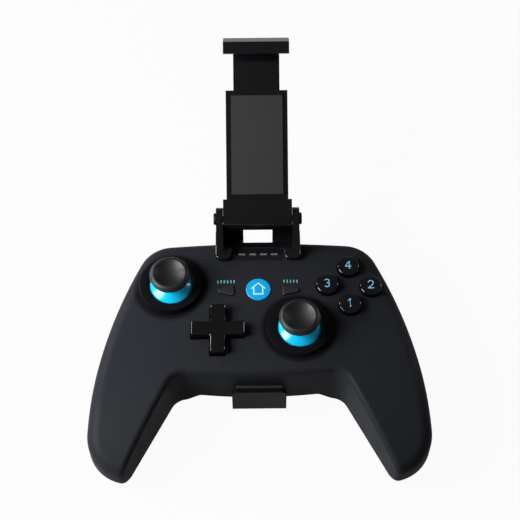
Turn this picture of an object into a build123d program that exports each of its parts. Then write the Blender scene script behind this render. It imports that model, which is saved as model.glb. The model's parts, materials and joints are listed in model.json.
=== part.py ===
from build123d import *
from math import atan, cos, radians, sin, sqrt
import os

os.makedirs("parts", exist_ok=True)

# Game controller with a clip-on telescopic bracket. Sizes are in millimetres.
# X runs to the player's right, Y away from the player, Z up. The origin is on the
# table, straight below the home button, where the bracket's flat underside rests.

# Body: plan outline, face and underside
face_z = 34.0
wall = 2.4
back_y = 28.1
corner_x = 50.3
corner_y = 27.0
corner_radius = 16.0
side_end_x = 76.2
grip_end_y = -84.0
side_radius = 214.0
grip_tip_radius = 19.0
crotch_x = 37.3
crotch_y = -40.0
crotch_radius = 8.0
grip_inner_x = 60.0
front_bow = 2.8
crown_radius = 520.0
droop_start_y = -36.0
droop_radius = 115.0
face_edge_radius = 7.0
inner_edge_radius = 2.6
inner_bottom_radius = 5.5
grip_bottom_radius = 9.0
underside_back_z = 4.5
grip_floor_start_y = -34.0
grip_floor_end_y = -68.0
grip_rise = 3.5
underside_blend_radius = 60.0
tunnel_front_z = 10.0
tunnel_back_z = 6.5
tunnel_half_width = 27.0
tunnel_edge_radius = 3.0
parting_drop = 5.6
parting_gap = 0.15
overrun = 20.0

# General clearances
loose = 0.3
running = 0.05

# Main board and what stands on it
board_drop = 15.0
board_thickness = 1.6
board_half_width = 51.0
board_front_y = -33.0
board_back_y = 9.8
wing_half_width = 55.5
wing_front_y = -9.0
shoulder_inner_x = 29.0
shoulder_outer_x = 52.0
shoulder_back_y = 18.3
tongue_half_width = 16.5
tongue_back_y = 24.3
screw_towers = [(57.5, -60.0), (57.0, -16.0), (22.0, 13.5)]
tower_radius = 3.2
tower_joint_drop = 14.0
shell_screw_radius = 1.0
shell_screw_length = 9.0
shell_screw_head_radius = 2.2
shell_screw_head_height = 1.6
board_posts = [(47.0, -24.0), (21.0, 6.5)]
post_radius = 2.4
board_screw_radius = 0.8
board_screw_head_radius = 1.7
board_screw_length = 6.0
screw_head_depth = 4.0
screw_clearance = 0.4
chips = [((1.5, -27.0), 7.0), ((-2.0, -15.0), 4.5), ((0.0, 12.5), 6.0)]
chip_height = 1.0
port_width = 7.5
port_height = 2.7
port_length = 5.2
port_sheet = 0.4
battery_back_y = 20.0
battery_length = 42.0
battery_width = 34.0
battery_thickness = 5.5
battery_corner = 1.5

# Controls on the face
button_centre = (41.5, 1.9)
button_pitch = 10.0
button_radius = 5.05
button_height = 2.6
button_dome = 0.7
button_travel = 1.5
button_gap = 0.25
guide_wall = 1.2
guide_depth = 5.5
button_length = 8.5
button_flange = 1.1
home_radius = 5.65
menu_x = 14.8
menu_y = -0.5
menu_length = 7.4
menu_height = 5.4
menu_travel = 0.8
menu_proud = 0.8
menu_corner = 0.8
menu_flange = 0.9
menu_stem = 2.6
menu_stem_radius = 1.6
home_proud = 0.4
home_dome = 0.3
button_rim = 1.2
button_hollow = 4.5
mat_thickness = 1.2
mat_radius = 14.2
mat_dome_radius = 3.1
menu_mat_width = 9.5
menu_dome_radius = 2.2
cross_centre = (-18.3, -21.2)
cross_span = 24.1
cross_arm = 6.8
cross_proud = 3.8
cross_gap = 0.6
cross_corner = 0.9
cross_edge = 0.7
cross_bowl_radius = 60.0
cross_bowl_depth = 0.9
cross_tilt_room = 1.6
cross_disc_radius = 13.0
cross_disc_thickness = 1.2
cross_hub_radius = 4.5
cross_hub_depth = 1.0
cross_post_radius = 2.1
cross_switch_radius = 8.5
cross_pivot_drop = 6.0
cross_ball_radius = 2.5
window_y = 19.0
window_half_width = 11.6
window_depth = 6.6
window_thickness = 1.1
window_corner = 1.5
led_pitch = 5.0
led_length = 3.0
led_width = 0.9

# Thumbsticks
stick_places = {"left": (-40.0, 2.8), "right": (18.3, -19.8)}
stick_pivot_drop = 9.5
dome_radius = 13.8
dome_thickness = 1.2
dome_gap = 0.4
collar_radius = 15.0
collar_slope = 0.9
collar_mouth_radius = 10.0
collar_rise = 1.6
cap_radius = 9.25
cap_rise = 9.2
dish_radius = 7.0
dish_rise = 11.2
dish_depth = 2.4
cap_bulge = 0.35
skirt_depth = 5.5
collar_sink = 0.35
collar_edge_radius = 1.4
collar_lip_radius = 1.2
dome_rim_height = 4.6
dome_tube_base = 9.5
dome_tube_wall = 1.7
cap_neck_radius = 4.5
cap_depth = 3.5
cap_edge = 0.8
shaft_grip = 2.2
sensor_thickness = 3.0
sensor_width = 9.0
switch_height = 3.8
stick_frame_half = 7.8
stick_sheet = 0.8
stick_frame_rise = 2.4
yoke_half_length = 6.4
yoke_half_width = 2.95
yoke_half_height = 2.0
trunnion_radius = 1.2
trunnion_reach = 8.6
hub_half_length = 2.2
hub_half_width = 1.8
hub_slot_half_length = 3.2
hub_pin_radius = 0.8
shaft_radius = 1.3
arch_inner_radius = 5.3
arch_outer_radius = 6.5
arch_half_width = 2.75
arch_slot_gap = 0.25
arch_slot_length = 7.4

# Shoulder buttons
bumper_start_x = 24.5
bumper_end_x = 43.0
bumper_top_drop = 8.2
bumper_height = 5.8
bumper_proud = 1.2
bumper_pivot_x = 21.0
bumper_pivot_y = 22.5
bumper_post_radius = 1.1
trigger_start_x = 25.2
trigger_end_x = 42.2
trigger_pivot_y = 22.3
trigger_pivot_drop = 19.0
trigger_hub_radius = 2.8
trigger_pin_radius = 1.0
trigger_ear = 1.5
window_gap = 0.4
trigger_window_drop = 15.4
trigger_window_height = 7.2
trigger_corner = 1.0
trigger_top_y = 9.0
trigger_top_rise = 1.6
trigger_tip_y = 15.0
trigger_tip_drop = 8.6
trigger_tip_thickness = 2.6
trigger_blade = 3.6
trigger_heel = 2.0
bumper_eye_radius = 2.5
bumper_inner_y = 23.7
bumper_edge = 0.8
spring_wire = 0.25
spring_radius = 2.0
spring_pitch = 1.3
spring_length = 4.6
spring_slot_x = 33.5
spring_slot_width = 6.0
spring_slot_radius = 3.2

# Clip-on bracket
bracket_half_width = 19.2
cheek_thickness = 3.2
pad_gap = 1.0
pad_thickness = 0.7
plate_front_y = -20.0
rear_wall_y = 29.2
rear_wall_thickness = 3.0
claw_front_y = 15.2
claw_inner_x = 12.2
claw_overhang = 0.5
claw_round = 2.6
claw_edge = 0.6
claw_thickness = 2.0
arch_back_y = 22.9
lip_back_y = 24.9
window_half_opening = 6.8
window_low_drop = 17.5
pivot_y = 31.6
pivot_rise = 10.9
pivot_disc_radius = 5.2
pivot_pin_radius = 1.5
rest_angle = 31.5
cheek_gap = 0.2
ledge_s = 7.0
ledge_pad = 1.2
phone_back_n = -3.6
phone_front_n = 4.3
lip_thickness = 1.5
lip_overlap = 1.8
back_front_n = -4.6
back_rear_n = -10.2
back_end_s = 60.0
back_half_width = 14.4
stem_half_width = 10.8
stem_front_n = -6.3
stem_rear_n = -8.6
stem_start_s = 22.0
channel_start_s = 5.0
channel_gap = 0.2
cover_thickness = 1.2
opening_length = 71.0
jaw_half_width = 15.2
jaw_thickness = 4.8
jaw_lip_overlap = 2.5
jaw_slope_drop = 3.1
rear_wall_rise = 5.5
claw_gap = 0.75
cheek_front_angle = 130.0
cheek_back_angle = -30.0
arch_corner_radius = 5.0
lip_rise = 0.9
slider_roof = 0.8
cover_half_width = 14.0
cover_front_y = -17.0
cover_back_y = 12.0
hook_half_width = 12.2
hook_top_z = 23.0
hook_gap_y = 2.4
hook_thickness = 2.3
slider_thickness = 1.9
slider_half_width = 10.4
slider_back_y = 8.0
slider_slot_half_width = 2.7
cover_post_x = 12.3
cover_post_radius = 1.5
small_screw_radius = 0.6
small_screw_reach = 2.6
small_screw_head_radius = 1.2
small_screw_head_height = 0.7
hook_corner = 2.5
hook_pad_thickness = 1.6
hook_slot_front = -12.5
hook_slot_back = 5.0
hook_peg_y = -11.0
hook_peg_length = 2.0
hook_spring_radius = 0.7
hook_spring_pitch = 2.0
block_start_s = 2.0
cradle_screw_places = [(12.6, 12.0), (-12.6, 12.0), (12.6, 50.0), (-12.6, 50.0)]
pin_head_radius = 2.75
pin_head_height = 1.2
jaw_slope_start_n = -2.0
jaw_edge = 0.8


def face_height(x, y=0):
    """Height of the crowned face, which droops towards the ends of the grips."""
    droop = max(0, droop_start_y - y)
    crown = sqrt(crown_radius**2 - x**2) - crown_radius
    return face_z + crown + sqrt(droop_radius**2 - droop**2) - droop_radius


def boundary(faces):
    """Edges that belong to exactly one of the faces."""
    edges = [edge for face in faces for edge in face.edges()]
    return [edge for edge in edges if sum(edge.is_same(other) for other in edges) == 1]


def hull_outline(inset):
    """Plan outline with the gap between the grips left closed, drawn inwards by inset."""
    with BuildSketch() as outline:
        with BuildLine():
            back = Line((0, back_y), (corner_x, corner_y))
            side = RadiusArc(back @ 1, (side_end_x, grip_end_y), side_radius)
            Line(side @ 1, (0, grip_end_y))
            mirror(about=Plane.YZ)
        make_face()
        ends = outline.vertices().filter_by(lambda corner: abs(corner.X) > 1)
        fillet(ends.filter_by(lambda corner: corner.Y > 0), radius=corner_radius)
        ends = outline.vertices().filter_by(lambda corner: abs(corner.X) > 1)
        fillet(ends.group_by(Axis.Y)[0], radius=grip_tip_radius)
        if inset:
            offset(amount=-inset, kind=Kind.INTERSECTION)
    return outline.sketch


def grip_gap(growth):
    """Plan of the space between the grips, grown by the given amount."""
    with BuildSketch() as gap:
        with BuildLine():
            front = ThreePointArc(
                (-crotch_x, crotch_y), (0, crotch_y - front_bow), (crotch_x, crotch_y)
            )
            slope = (grip_inner_x - crotch_x) / (crotch_y - grip_end_y)
            far_y = grip_end_y - overrun
            far_x = grip_inner_x + slope * overrun
            Polyline(front @ 1, (far_x, far_y), (-far_x, far_y), front @ 0)
        make_face()
        fillet(gap.vertices().group_by(Axis.Y)[-1], radius=crotch_radius)
        if growth:
            offset(amount=growth, kind=Kind.INTERSECTION)
    return gap.sketch


def space_above_face(drop):
    """Everything above the crowned, drooping face, with the face lowered by drop."""
    half = side_end_x + overrun
    radius = crown_radius - drop
    sag = radius - sqrt(radius**2 - half**2)
    with BuildPart() as space:
        with BuildLine(Plane.YZ) as path:
            flat = Line((back_y + overrun, face_z - drop), (droop_start_y, face_z - drop))
            JernArc(flat @ 1, flat % 1, radius=droop_radius - drop, arc_size=40)
        start = Plane(origin=path.line @ 0, x_dir=(1, 0, 0), z_dir=(0, -1, 0))
        with BuildSketch(start):
            with BuildLine():
                crown = ThreePointArc((-half, -sag), (0, 0), (half, -sag))
                Polyline(crown @ 1, (half, 3 * overrun), (-half, 3 * overrun), crown @ 0)
            make_face()
        sweep(path=path.line)
    return space.part


def space_below_underside(rise):
    """Everything below the grips' underside, with the underside raised by rise."""
    slope = underside_back_z / (back_y - grip_floor_start_y)
    far_back = back_y + overrun
    far_front = grip_end_y - overrun
    front_slope = grip_rise / (grip_floor_end_y - grip_end_y)
    with BuildPart() as space:
        with BuildSketch(Plane.YZ) as profile:
            with BuildLine():
                Polyline(
                    (far_back, -3 * overrun),
                    (far_back, (far_back - grip_floor_start_y) * slope),
                    (grip_floor_start_y, 0),
                    (grip_floor_end_y, 0),
                    (far_front, (grip_floor_end_y - far_front) * front_slope),
                    (far_front, -3 * overrun),
                    close=True,
                )
            make_face()
            floor_corners = profile.vertices().filter_by(lambda corner: abs(corner.Y) < 0.01)
            fillet(floor_corners, radius=underside_blend_radius)
            if rise:
                offset(amount=rise, kind=Kind.INTERSECTION)
        extrude(amount=2 * side_end_x, both=True)
    return space.part


tunnel_slope = (tunnel_front_z - tunnel_back_z) / (back_y - crotch_y)
tunnel_tilt = atan(tunnel_slope)


def tunnel_height(y):
    """Height of the trough's ceiling under the middle of the body."""
    return tunnel_back_z + (back_y - y) * tunnel_slope


def tunnel(growth):
    """The sloping trough under the middle of the body, with every wall moved outwards."""
    back_end = Plane(
        origin=(0, back_y + overrun, tunnel_height(back_y + overrun)),
        x_dir=(1, 0, 0),
        z_dir=(0, -cos(tunnel_tilt), sin(tunnel_tilt)),
    )
    half = tunnel_half_width + growth * (sqrt(2) - 1)
    with BuildPart() as trough:
        with BuildSketch(back_end) as section:
            with BuildLine():
                Polyline(
                    (half, growth),
                    (half + overrun, growth - overrun),
                    (-half - overrun, growth - overrun),
                    (-half, growth),
                    close=True,
                )
            make_face()
            fillet(section.vertices().group_by(Axis.Y)[-1], radius=tunnel_edge_radius + growth)
        extrude(amount=back_y - crotch_y + 3 * overrun)
    return trough.part


def body_block(inset):
    """Closed block of the whole body, with every surface moved inwards by inset."""
    above = space_above_face(inset)
    below = space_below_underside(inset)
    with BuildPart() as block:
        with BuildSketch(Plane.XY.offset(-overrun)):
            add(hull_outline(inset))
        extrude(amount=face_z + 2 * overrun)
        add(below, mode=Mode.SUBTRACT)
        floor = block.faces().filter_by(lambda face: face.normal_at().Z < -0.7)
        fillet(boundary(floor), radius=grip_bottom_radius - inset)
        add(above, mode=Mode.SUBTRACT)
        top = block.faces().filter_by(lambda face: face.normal_at().Z > 0.7)
        fillet(boundary(top), radius=face_edge_radius - inset)
        add(tunnel(inset), mode=Mode.SUBTRACT)
        with BuildSketch(Plane.XY.offset(-overrun)):
            add(grip_gap(inset))
        extrude(amount=face_z + 2 * overrun, mode=Mode.SUBTRACT)
        if not inset:
            gap_walls = block.faces().filter_by(
                lambda face: abs(face.normal_at().Z) < 0.01
                and face.normal_at().Y < -0.3
                and abs(face.center().X) < grip_inner_x
                and face.center().Y < crotch_y + crotch_radius
            )
            rim = ShapeList(boundary(gap_walls))
            crest_z = face_z - (face_edge_radius + parting_drop)
            fillet(rim.filter_by(lambda edge: edge.center().Z > crest_z), inner_edge_radius)
    return block.part


def lower_flare():
    """Cutter that rounds the lower edge of the gap between the grips."""
    with BuildPart() as cutter:
        with BuildSketch(Plane.XY.offset(-overrun)):
            Rectangle(4 * side_end_x, 4 * side_end_x)
        extrude(amount=overrun - parting_gap)
        with BuildSketch(Plane.XY.offset(-parting_gap)):
            add(grip_gap(-running))
        extrude(amount=inner_bottom_radius + wall)
        foot = cutter.edges().filter_by(lambda edge: abs(edge.center().Z + parting_gap) < 0.01)
        foot = foot.filter_by(lambda edge: abs(edge.center().X) < side_end_x)
        fillet(foot.filter_by(lambda edge: edge.center().Y > -side_end_x), inner_bottom_radius)
    return cutter.part


def save(piece, name):
    """Name a finished piece and write its file."""
    piece.label = name
    export_step(piece, f"parts/{name}.step")


def both_sides(places):
    """The given places and their mirror images across the middle."""
    return [(side * x, y) for x, y in places for side in (1, -1)]


def front_view(x, y, z=0):
    """Plane facing the player, its own X to the right and its own Y upwards."""
    return Plane(origin=(x, y, z), x_dir=(1, 0, 0), z_dir=(0, -1, 0))


def plan_cross(span, arm, corner):
    """Plan of a cross with rounded corners."""
    with BuildSketch() as outline:
        Rectangle(span, arm)
        Rectangle(arm, span)
        fillet(outline.vertices(), radius=corner)
    return outline.sketch


def plan_wedge(growth):
    """Plan of the start button, a rounded wedge that points outwards."""
    half = menu_length / 2
    with BuildSketch() as outline:
        Polygon(
            (-half, -menu_height / 2),
            (half, -menu_height / 6),
            (half, menu_height / 6),
            (-half, menu_height / 2),
            align=None,
        )
        fillet(outline.vertices(), radius=menu_corner)
        if growth:
            offset(amount=growth)
    return outline.sketch


def collar(x, y):
    """Raised ring round a thumbstick's opening, with a skirt inside the shell."""
    top = face_z + collar_rise
    with BuildPart() as ring:
        with BuildSketch(front_view(x, y)) as profile:
            with BuildLine():
                Polyline(
                    (collar_radius, face_height(x) - collar_sink),
                    (collar_radius - collar_slope, top),
                    (collar_mouth_radius, top),
                    (collar_mouth_radius, face_z - skirt_depth),
                    (collar_radius, face_z - skirt_depth),
                    close=True,
                )
            make_face()
            inner_rim, outer_rim = profile.vertices().group_by(Axis.Y)[-1].sort_by(Axis.X)
            fillet(inner_rim, radius=collar_lip_radius)
            fillet(outer_rim, radius=collar_edge_radius)
        revolve(axis=Axis((x, y, 0), (0, 0, 1)))
    return ring.part


# Shared places
pivot_z = face_z - stick_pivot_drop
board_top = face_z - board_drop
board_bottom = board_top - board_thickness
tower_top = face_z - tower_joint_drop
cross_x, cross_y = cross_centre
button_places = {
    "top": (button_centre[0], button_centre[1] + button_pitch),
    "right": (button_centre[0] + button_pitch, button_centre[1]),
    "bottom": (button_centre[0], button_centre[1] - button_pitch),
    "left": (button_centre[0] - button_pitch, button_centre[1]),
}
led_places = [(led_pitch * (place - 1.5), window_y) for place in range(4)]
tower_places = both_sides(screw_towers)
post_places = both_sides(board_posts)
bumper_pivots = both_sides([(bumper_pivot_x, bumper_pivot_y)])
trigger_axle = (trigger_pivot_y, face_z - trigger_pivot_drop)

outer = body_block(0) - lower_flare()
cavity = body_block(wall)
above_joint = space_above_face(parting_drop)
above_gap = space_above_face(parting_drop + parting_gap)
collars = [collar(x, y) for x, y in stick_places.values()]
cross_hole = plan_cross(cross_span + 2 * cross_gap, cross_arm + 2 * cross_gap, cross_corner)
wedge_hole = plan_wedge(button_gap)

with BuildPart() as front_shell:
    add(outer)
    add(above_joint, mode=Mode.INTERSECT)
    add(cavity, mode=Mode.SUBTRACT)
    add(collars)
    for x, y in tower_places:
        with BuildSketch(Plane((x, y, tower_top))):
            Circle(tower_radius)
        extrude(amount=face_height(x, y) - wall / 2 - tower_top)
    for x, y in button_places.values():
        with BuildSketch(Plane((x, y, face_height(x) - guide_depth))):
            Circle(button_radius + button_gap + guide_wall)
        extrude(amount=guide_depth - wall / 2)
    with BuildSketch(Plane((cross_x, cross_y, face_z - guide_depth))):
        add(cross_hole)
    extrude(amount=overrun, mode=Mode.SUBTRACT)
    for x, y in stick_places.values():
        with Locations((x, y, pivot_z)):
            Sphere(dome_radius + dome_gap, mode=Mode.SUBTRACT)
    for x, y in button_places.values():
        with Locations((x, y, face_z)):
            Cylinder(button_radius + button_gap, 2 * overrun, mode=Mode.SUBTRACT)
    with Locations((0, 0, face_z)):
        Cylinder(home_radius + button_gap, overrun, mode=Mode.SUBTRACT)
    for side in (1, -1):
        with BuildSketch(Plane((side * menu_x, menu_y, face_z - guide_depth), x_dir=(side, 0, 0))):
            add(wedge_hole)
        extrude(amount=overrun, mode=Mode.SUBTRACT)
    with BuildSketch(Plane((0, window_y, face_z - window_thickness - running))) as recess:
        Rectangle(2 * window_half_width + 2 * running, window_depth + 2 * running)
        fillet(recess.vertices(), radius=window_corner)
    extrude(amount=overrun, mode=Mode.SUBTRACT)
    with BuildSketch(Plane((0, 0, face_z - guide_depth))):
        with Locations(*led_places):
            Rectangle(led_length + 2 * running, led_width + 2 * running)
    extrude(amount=overrun, mode=Mode.SUBTRACT)
    for x, y in tower_places:
        with Locations((x, y, tower_top)):
            Cylinder(
                shell_screw_radius + running / 2,
                2 * (shell_screw_length - screw_head_depth + 1),
                mode=Mode.SUBTRACT,
            )
save(front_shell.part, "front_shell")

with BuildPart() as fittings:
    for x, y in tower_places:
        with BuildSketch(Plane((x, y, 0))):
            Circle(tower_radius)
        extrude(amount=tower_top)
    for x, y in post_places:
        with BuildSketch(Plane((x, y, 0))):
            Circle(post_radius)
        extrude(amount=board_bottom)
    for x, y in bumper_pivots:
        with BuildSketch(Plane((x, y, 0))):
            Circle(2 * bumper_post_radius)
        extrude(amount=face_z - bumper_top_drop - bumper_height - running)
        with BuildSketch(Plane((x, y, 0))):
            Circle(bumper_post_radius)
        extrude(amount=face_z - bumper_top_drop + loose)
    for side in (1, -1):
        for inner_x in (trigger_start_x - loose - trigger_ear, trigger_end_x + loose):
            centre_x = side * (inner_x + trigger_ear / 2)
            with BuildSketch(Plane((centre_x, trigger_pivot_y, 0))):
                Rectangle(trigger_ear, 2 * trigger_hub_radius)
            extrude(amount=face_z - trigger_pivot_drop + trigger_hub_radius)
    add(outer, mode=Mode.INTERSECT)

with BuildPart() as rear_shell:
    add(outer)
    add(above_gap, mode=Mode.SUBTRACT)
    add(cavity, mode=Mode.SUBTRACT)
    add(fittings.part)
    for x, y in tower_places:
        with Locations((x, y, tower_top)):
            Cylinder(
                shell_screw_radius + screw_clearance, 2 * screw_head_depth + 1, mode=Mode.SUBTRACT
            )
        with BuildSketch(Plane((x, y, tower_top - screw_head_depth))):
            Circle(shell_screw_head_radius + loose)
        extrude(amount=-face_z, mode=Mode.SUBTRACT)
    for x, y in post_places:
        with Locations((x, y, board_bottom)):
            Cylinder(board_screw_radius + running / 2, 2 * board_screw_length, mode=Mode.SUBTRACT)
    for side in (1, -1):
        centre_x = side * (bumper_start_x + bumper_end_x) / 2
        height = bumper_height + 2 * window_gap
        with BuildSketch(front_view(centre_x, bumper_inner_y - window_gap, face_z - bumper_top_drop)):
            with Locations((0, -bumper_height / 2)):
                Rectangle(bumper_end_x - bumper_start_x + 4 * window_gap, height)
        extrude(amount=-overrun, mode=Mode.SUBTRACT)
        centre_x = side * (trigger_start_x + trigger_end_x) / 2
        with BuildSketch(front_view(centre_x, trigger_pivot_y, face_z - trigger_window_drop)):
            with Locations((0, -trigger_window_height / 2)):
                Rectangle(trigger_end_x - trigger_start_x + 2 * loose, trigger_window_height)
        extrude(amount=-overrun, mode=Mode.SUBTRACT)
    with BuildSketch(front_view(0, back_y + overrun, board_top + port_height / 2)) as slot:
        Rectangle(port_width + 2 * loose, port_height + 2 * loose)
        fillet(slot.vertices(), radius=port_height / 2)
    extrude(amount=overrun + wall + loose, mode=Mode.SUBTRACT)
    with Locations((0, trigger_pivot_y, face_z - trigger_pivot_drop)):
        Cylinder(
            trigger_pin_radius + running,
            2 * (trigger_end_x + loose + trigger_ear),
            rotation=(0, 90, 0),
            mode=Mode.SUBTRACT,
        )
save(rear_shell.part, "rear_shell")

# Board, its parts and the screws
with BuildPart() as main_board:
    with BuildSketch(Plane.XY.offset(board_bottom)) as plan:
        with BuildLine():
            Polyline(
                (0, board_front_y),
                (board_half_width, board_front_y),
                (board_half_width, wing_front_y),
                (wing_half_width, wing_front_y),
                (wing_half_width, board_back_y),
                (shoulder_outer_x, shoulder_back_y),
                (shoulder_inner_x, shoulder_back_y),
                (shoulder_inner_x, board_back_y),
                (tongue_half_width, board_back_y),
                (tongue_half_width, tongue_back_y),
                (0, tongue_back_y),
            )
            mirror(about=Plane.YZ)
        make_face()
        with Locations(*post_places):
            Circle(board_screw_radius + running, mode=Mode.SUBTRACT)
    extrude(amount=board_thickness)
    with BuildSketch(Plane((cross_x, cross_y, board_top))):
        Circle(cross_post_radius)
    extrude(amount=face_z - cross_pivot_drop - cross_ball_radius - running - board_top)
    with BuildSketch(Plane.XY.offset(board_top)):
        for place, size in chips:
            with Locations(place):
                Rectangle(size, size)
    extrude(amount=chip_height)
save(main_board.part, "main_board")

with BuildPart() as charge_port:
    with BuildSketch(front_view(0, back_y - loose, board_top + port_height / 2)) as outline:
        Rectangle(port_width, port_height)
        fillet(outline.vertices(), radius=port_height / 2 - loose)
    extrude(amount=port_length)
    with BuildSketch(front_view(0, back_y - loose, board_top + port_height / 2)) as mouth:
        Rectangle(port_width - 2 * port_sheet, port_height - 2 * port_sheet)
        fillet(mouth.vertices(), radius=port_height / 2 - loose - port_sheet)
    extrude(amount=port_length - port_sheet, mode=Mode.SUBTRACT)
    with BuildSketch(front_view(0, back_y - 2 * loose, board_top + port_height / 2)):
        Rectangle(port_width - 8 * port_sheet, 2 * port_sheet)
    extrude(amount=port_length - 2 * loose)
save(charge_port.part, "charge_port")

battery_plane = Plane(
    origin=(0, battery_back_y, tunnel_height(battery_back_y) + wall + loose / 2),
    x_dir=(1, 0, 0),
    z_dir=(0, sin(tunnel_tilt), cos(tunnel_tilt)),
)
with BuildPart() as battery:
    with BuildSketch(battery_plane) as cell:
        with Locations((0, -battery_length / 2)):
            Rectangle(battery_width, battery_length)
        fillet(cell.vertices(), radius=battery_corner)
    extrude(amount=battery_thickness)
save(battery.part, "battery")


def screw(x, y, head_z, head_radius, head_height, radius, length):
    """Cross-recessed screw whose head stands below or above its shank."""
    direction = 1 if length > 0 else -1
    with BuildPart() as bolt:
        with BuildSketch(Plane((x, y, head_z))):
            Circle(head_radius)
        extrude(amount=-direction * head_height)
        with BuildSketch(Plane((x, y, head_z))):
            Circle(radius)
        extrude(amount=length)
        with BuildSketch(Plane((x, y, head_z - direction * head_height))):
            Rectangle(1.2 * head_radius, 0.3 * head_radius)
            Rectangle(0.3 * head_radius, 1.2 * head_radius)
        extrude(amount=direction * head_height / 2, mode=Mode.SUBTRACT)
    return bolt.part


shell_screws = Compound(
    children=[
        screw(
            x,
            y,
            tower_top - screw_head_depth,
            shell_screw_head_radius,
            shell_screw_head_height,
            shell_screw_radius,
            shell_screw_length,
        )
        for x, y in tower_places
    ]
)
save(shell_screws, "shell_screws")
board_screws = Compound(
    children=[
        screw(
            x,
            y,
            board_top,
            board_screw_head_radius,
            board_screw_head_radius / 2,
            board_screw_radius,
            -board_screw_length,
        )
        for x, y in post_places
    ]
)
save(board_screws, "board_screws")

# Status window and its light pipes
with BuildPart() as status_window:
    with BuildSketch(Plane((0, window_y, face_z - window_thickness - running))) as pane:
        Rectangle(2 * window_half_width, window_depth)
        fillet(pane.vertices(), radius=window_corner)
        with Locations(*[(x, 0) for x, y in led_places]):
            Rectangle(led_length + 2 * running, led_width + 2 * running, mode=Mode.SUBTRACT)
    extrude(amount=window_thickness)
save(status_window.part, "status_window")

with BuildPart() as status_leds:
    with BuildSketch(Plane.XY.offset(board_top)):
        with Locations(*led_places):
            Rectangle(led_length, led_width)
    extrude(amount=board_drop - running)
save(status_leds.part, "status_leds")


# Buttons on the face and the rubber mats under them
mat_top = board_top + mat_thickness
stem_end = face_z - wall - loose - button_rim - menu_stem


def domed_disc(x, y, radius, edge_z, bulge, base_z):
    """Disc with a gently domed top, its rim at edge_z and its base at base_z."""
    sphere_radius = (radius**2 + bulge**2) / (2 * bulge)
    height = edge_z + bulge - base_z
    with BuildPart() as disc:
        with BuildSketch(front_view(x, y, base_z)) as profile:
            with Locations((radius / 2, height / 2)):
                Rectangle(radius, height)
            with Locations((0, height - sphere_radius)):
                Circle(sphere_radius, mode=Mode.INTERSECT)
            rim = profile.vertices().filter_by(
                lambda corner: corner.X > radius / 2 and corner.Y > height / 2
            )
            fillet(rim, radius=bulge)
        revolve(axis=Axis((x, y, 0), (0, 0, 1)))
    return disc.part


for name, (x, y) in button_places.items():
    level = face_height(x)
    flange_top = level - guide_depth - loose
    disc = domed_disc(x, y, button_radius, level + button_height, button_dome, level - button_length)
    with BuildPart() as face_button:
        add(disc)
        with BuildSketch(Plane((x, y, flange_top))):
            Circle(button_radius + button_flange)
        extrude(amount=-button_rim)
        with BuildSketch(Plane((x, y, level - button_length))):
            Circle(button_radius - button_rim)
        extrude(amount=button_hollow, mode=Mode.SUBTRACT)
    save(face_button.part, f"{name}_button")

home_disc = domed_disc(0, 0, home_radius, face_z + home_proud, home_dome, face_z - wall - loose)
with BuildPart() as home_button:
    add(home_disc)
    with BuildSketch(Plane.XY.offset(face_z - wall - loose)):
        Circle(home_radius + menu_flange)
    extrude(amount=-button_rim)
    with BuildSketch(Plane.XY.offset(face_z - wall - loose - button_rim)):
        Circle(home_radius / 2)
    extrude(amount=-menu_stem)
save(home_button.part, "home_button")

wedge = plan_wedge(0)
wedge_flange = plan_wedge(menu_flange)
wedge_flange_top = face_height(menu_x + menu_length) - wall - loose
for name, side in (("start", 1), ("select", -1)):
    place = (side * menu_x, menu_y)
    with BuildPart() as menu_button:
        with BuildSketch(Plane((*place, wedge_flange_top - button_rim), x_dir=(side, 0, 0))):
            add(wedge)
        extrude(amount=face_height(menu_x) + menu_proud + button_rim - wedge_flange_top)
        fillet(menu_button.edges().group_by(Axis.Z)[-1], radius=menu_proud / 2)
        with BuildSketch(Plane((*place, wedge_flange_top), x_dir=(side, 0, 0))):
            add(wedge_flange)
        extrude(amount=-button_rim)
        with BuildSketch(Plane((*place, stem_end))):
            Circle(menu_stem_radius)
        extrude(amount=wedge_flange_top - button_rim - stem_end)
    save(menu_button.part, f"{name}_button")

with BuildPart() as button_membrane:
    with BuildSketch(Plane((*button_centre, board_top))):
        Circle(mat_radius)
        with Locations(*[(x - button_centre[0], y - button_centre[1]) for x, y in post_places]):
            Circle(board_screw_head_radius + loose, mode=Mode.SUBTRACT)
    extrude(amount=mat_thickness)
    for x, y in button_places.values():
        height = face_height(x) - button_length + button_hollow - button_travel - mat_top
        with Locations((x, y, mat_top + (height - loose) / 2)):
            Cone(mat_dome_radius, mat_dome_radius - 0.7, height - loose)
save(button_membrane.part, "button_membrane")

with BuildPart() as menu_membrane:
    with BuildSketch(Plane.XY.offset(board_top)):
        with Locations((0, menu_y)):
            Rectangle(2 * (menu_x + mat_dome_radius), menu_mat_width)
    extrude(amount=mat_thickness)
    height = stem_end - menu_travel - running - mat_top
    for x in (-menu_x, 0, menu_x):
        with Locations((x, menu_y if x else 0, mat_top + height / 2)):
            Cone(menu_dome_radius, menu_stem_radius / 2, height)
save(menu_membrane.part, "menu_membrane")

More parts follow.
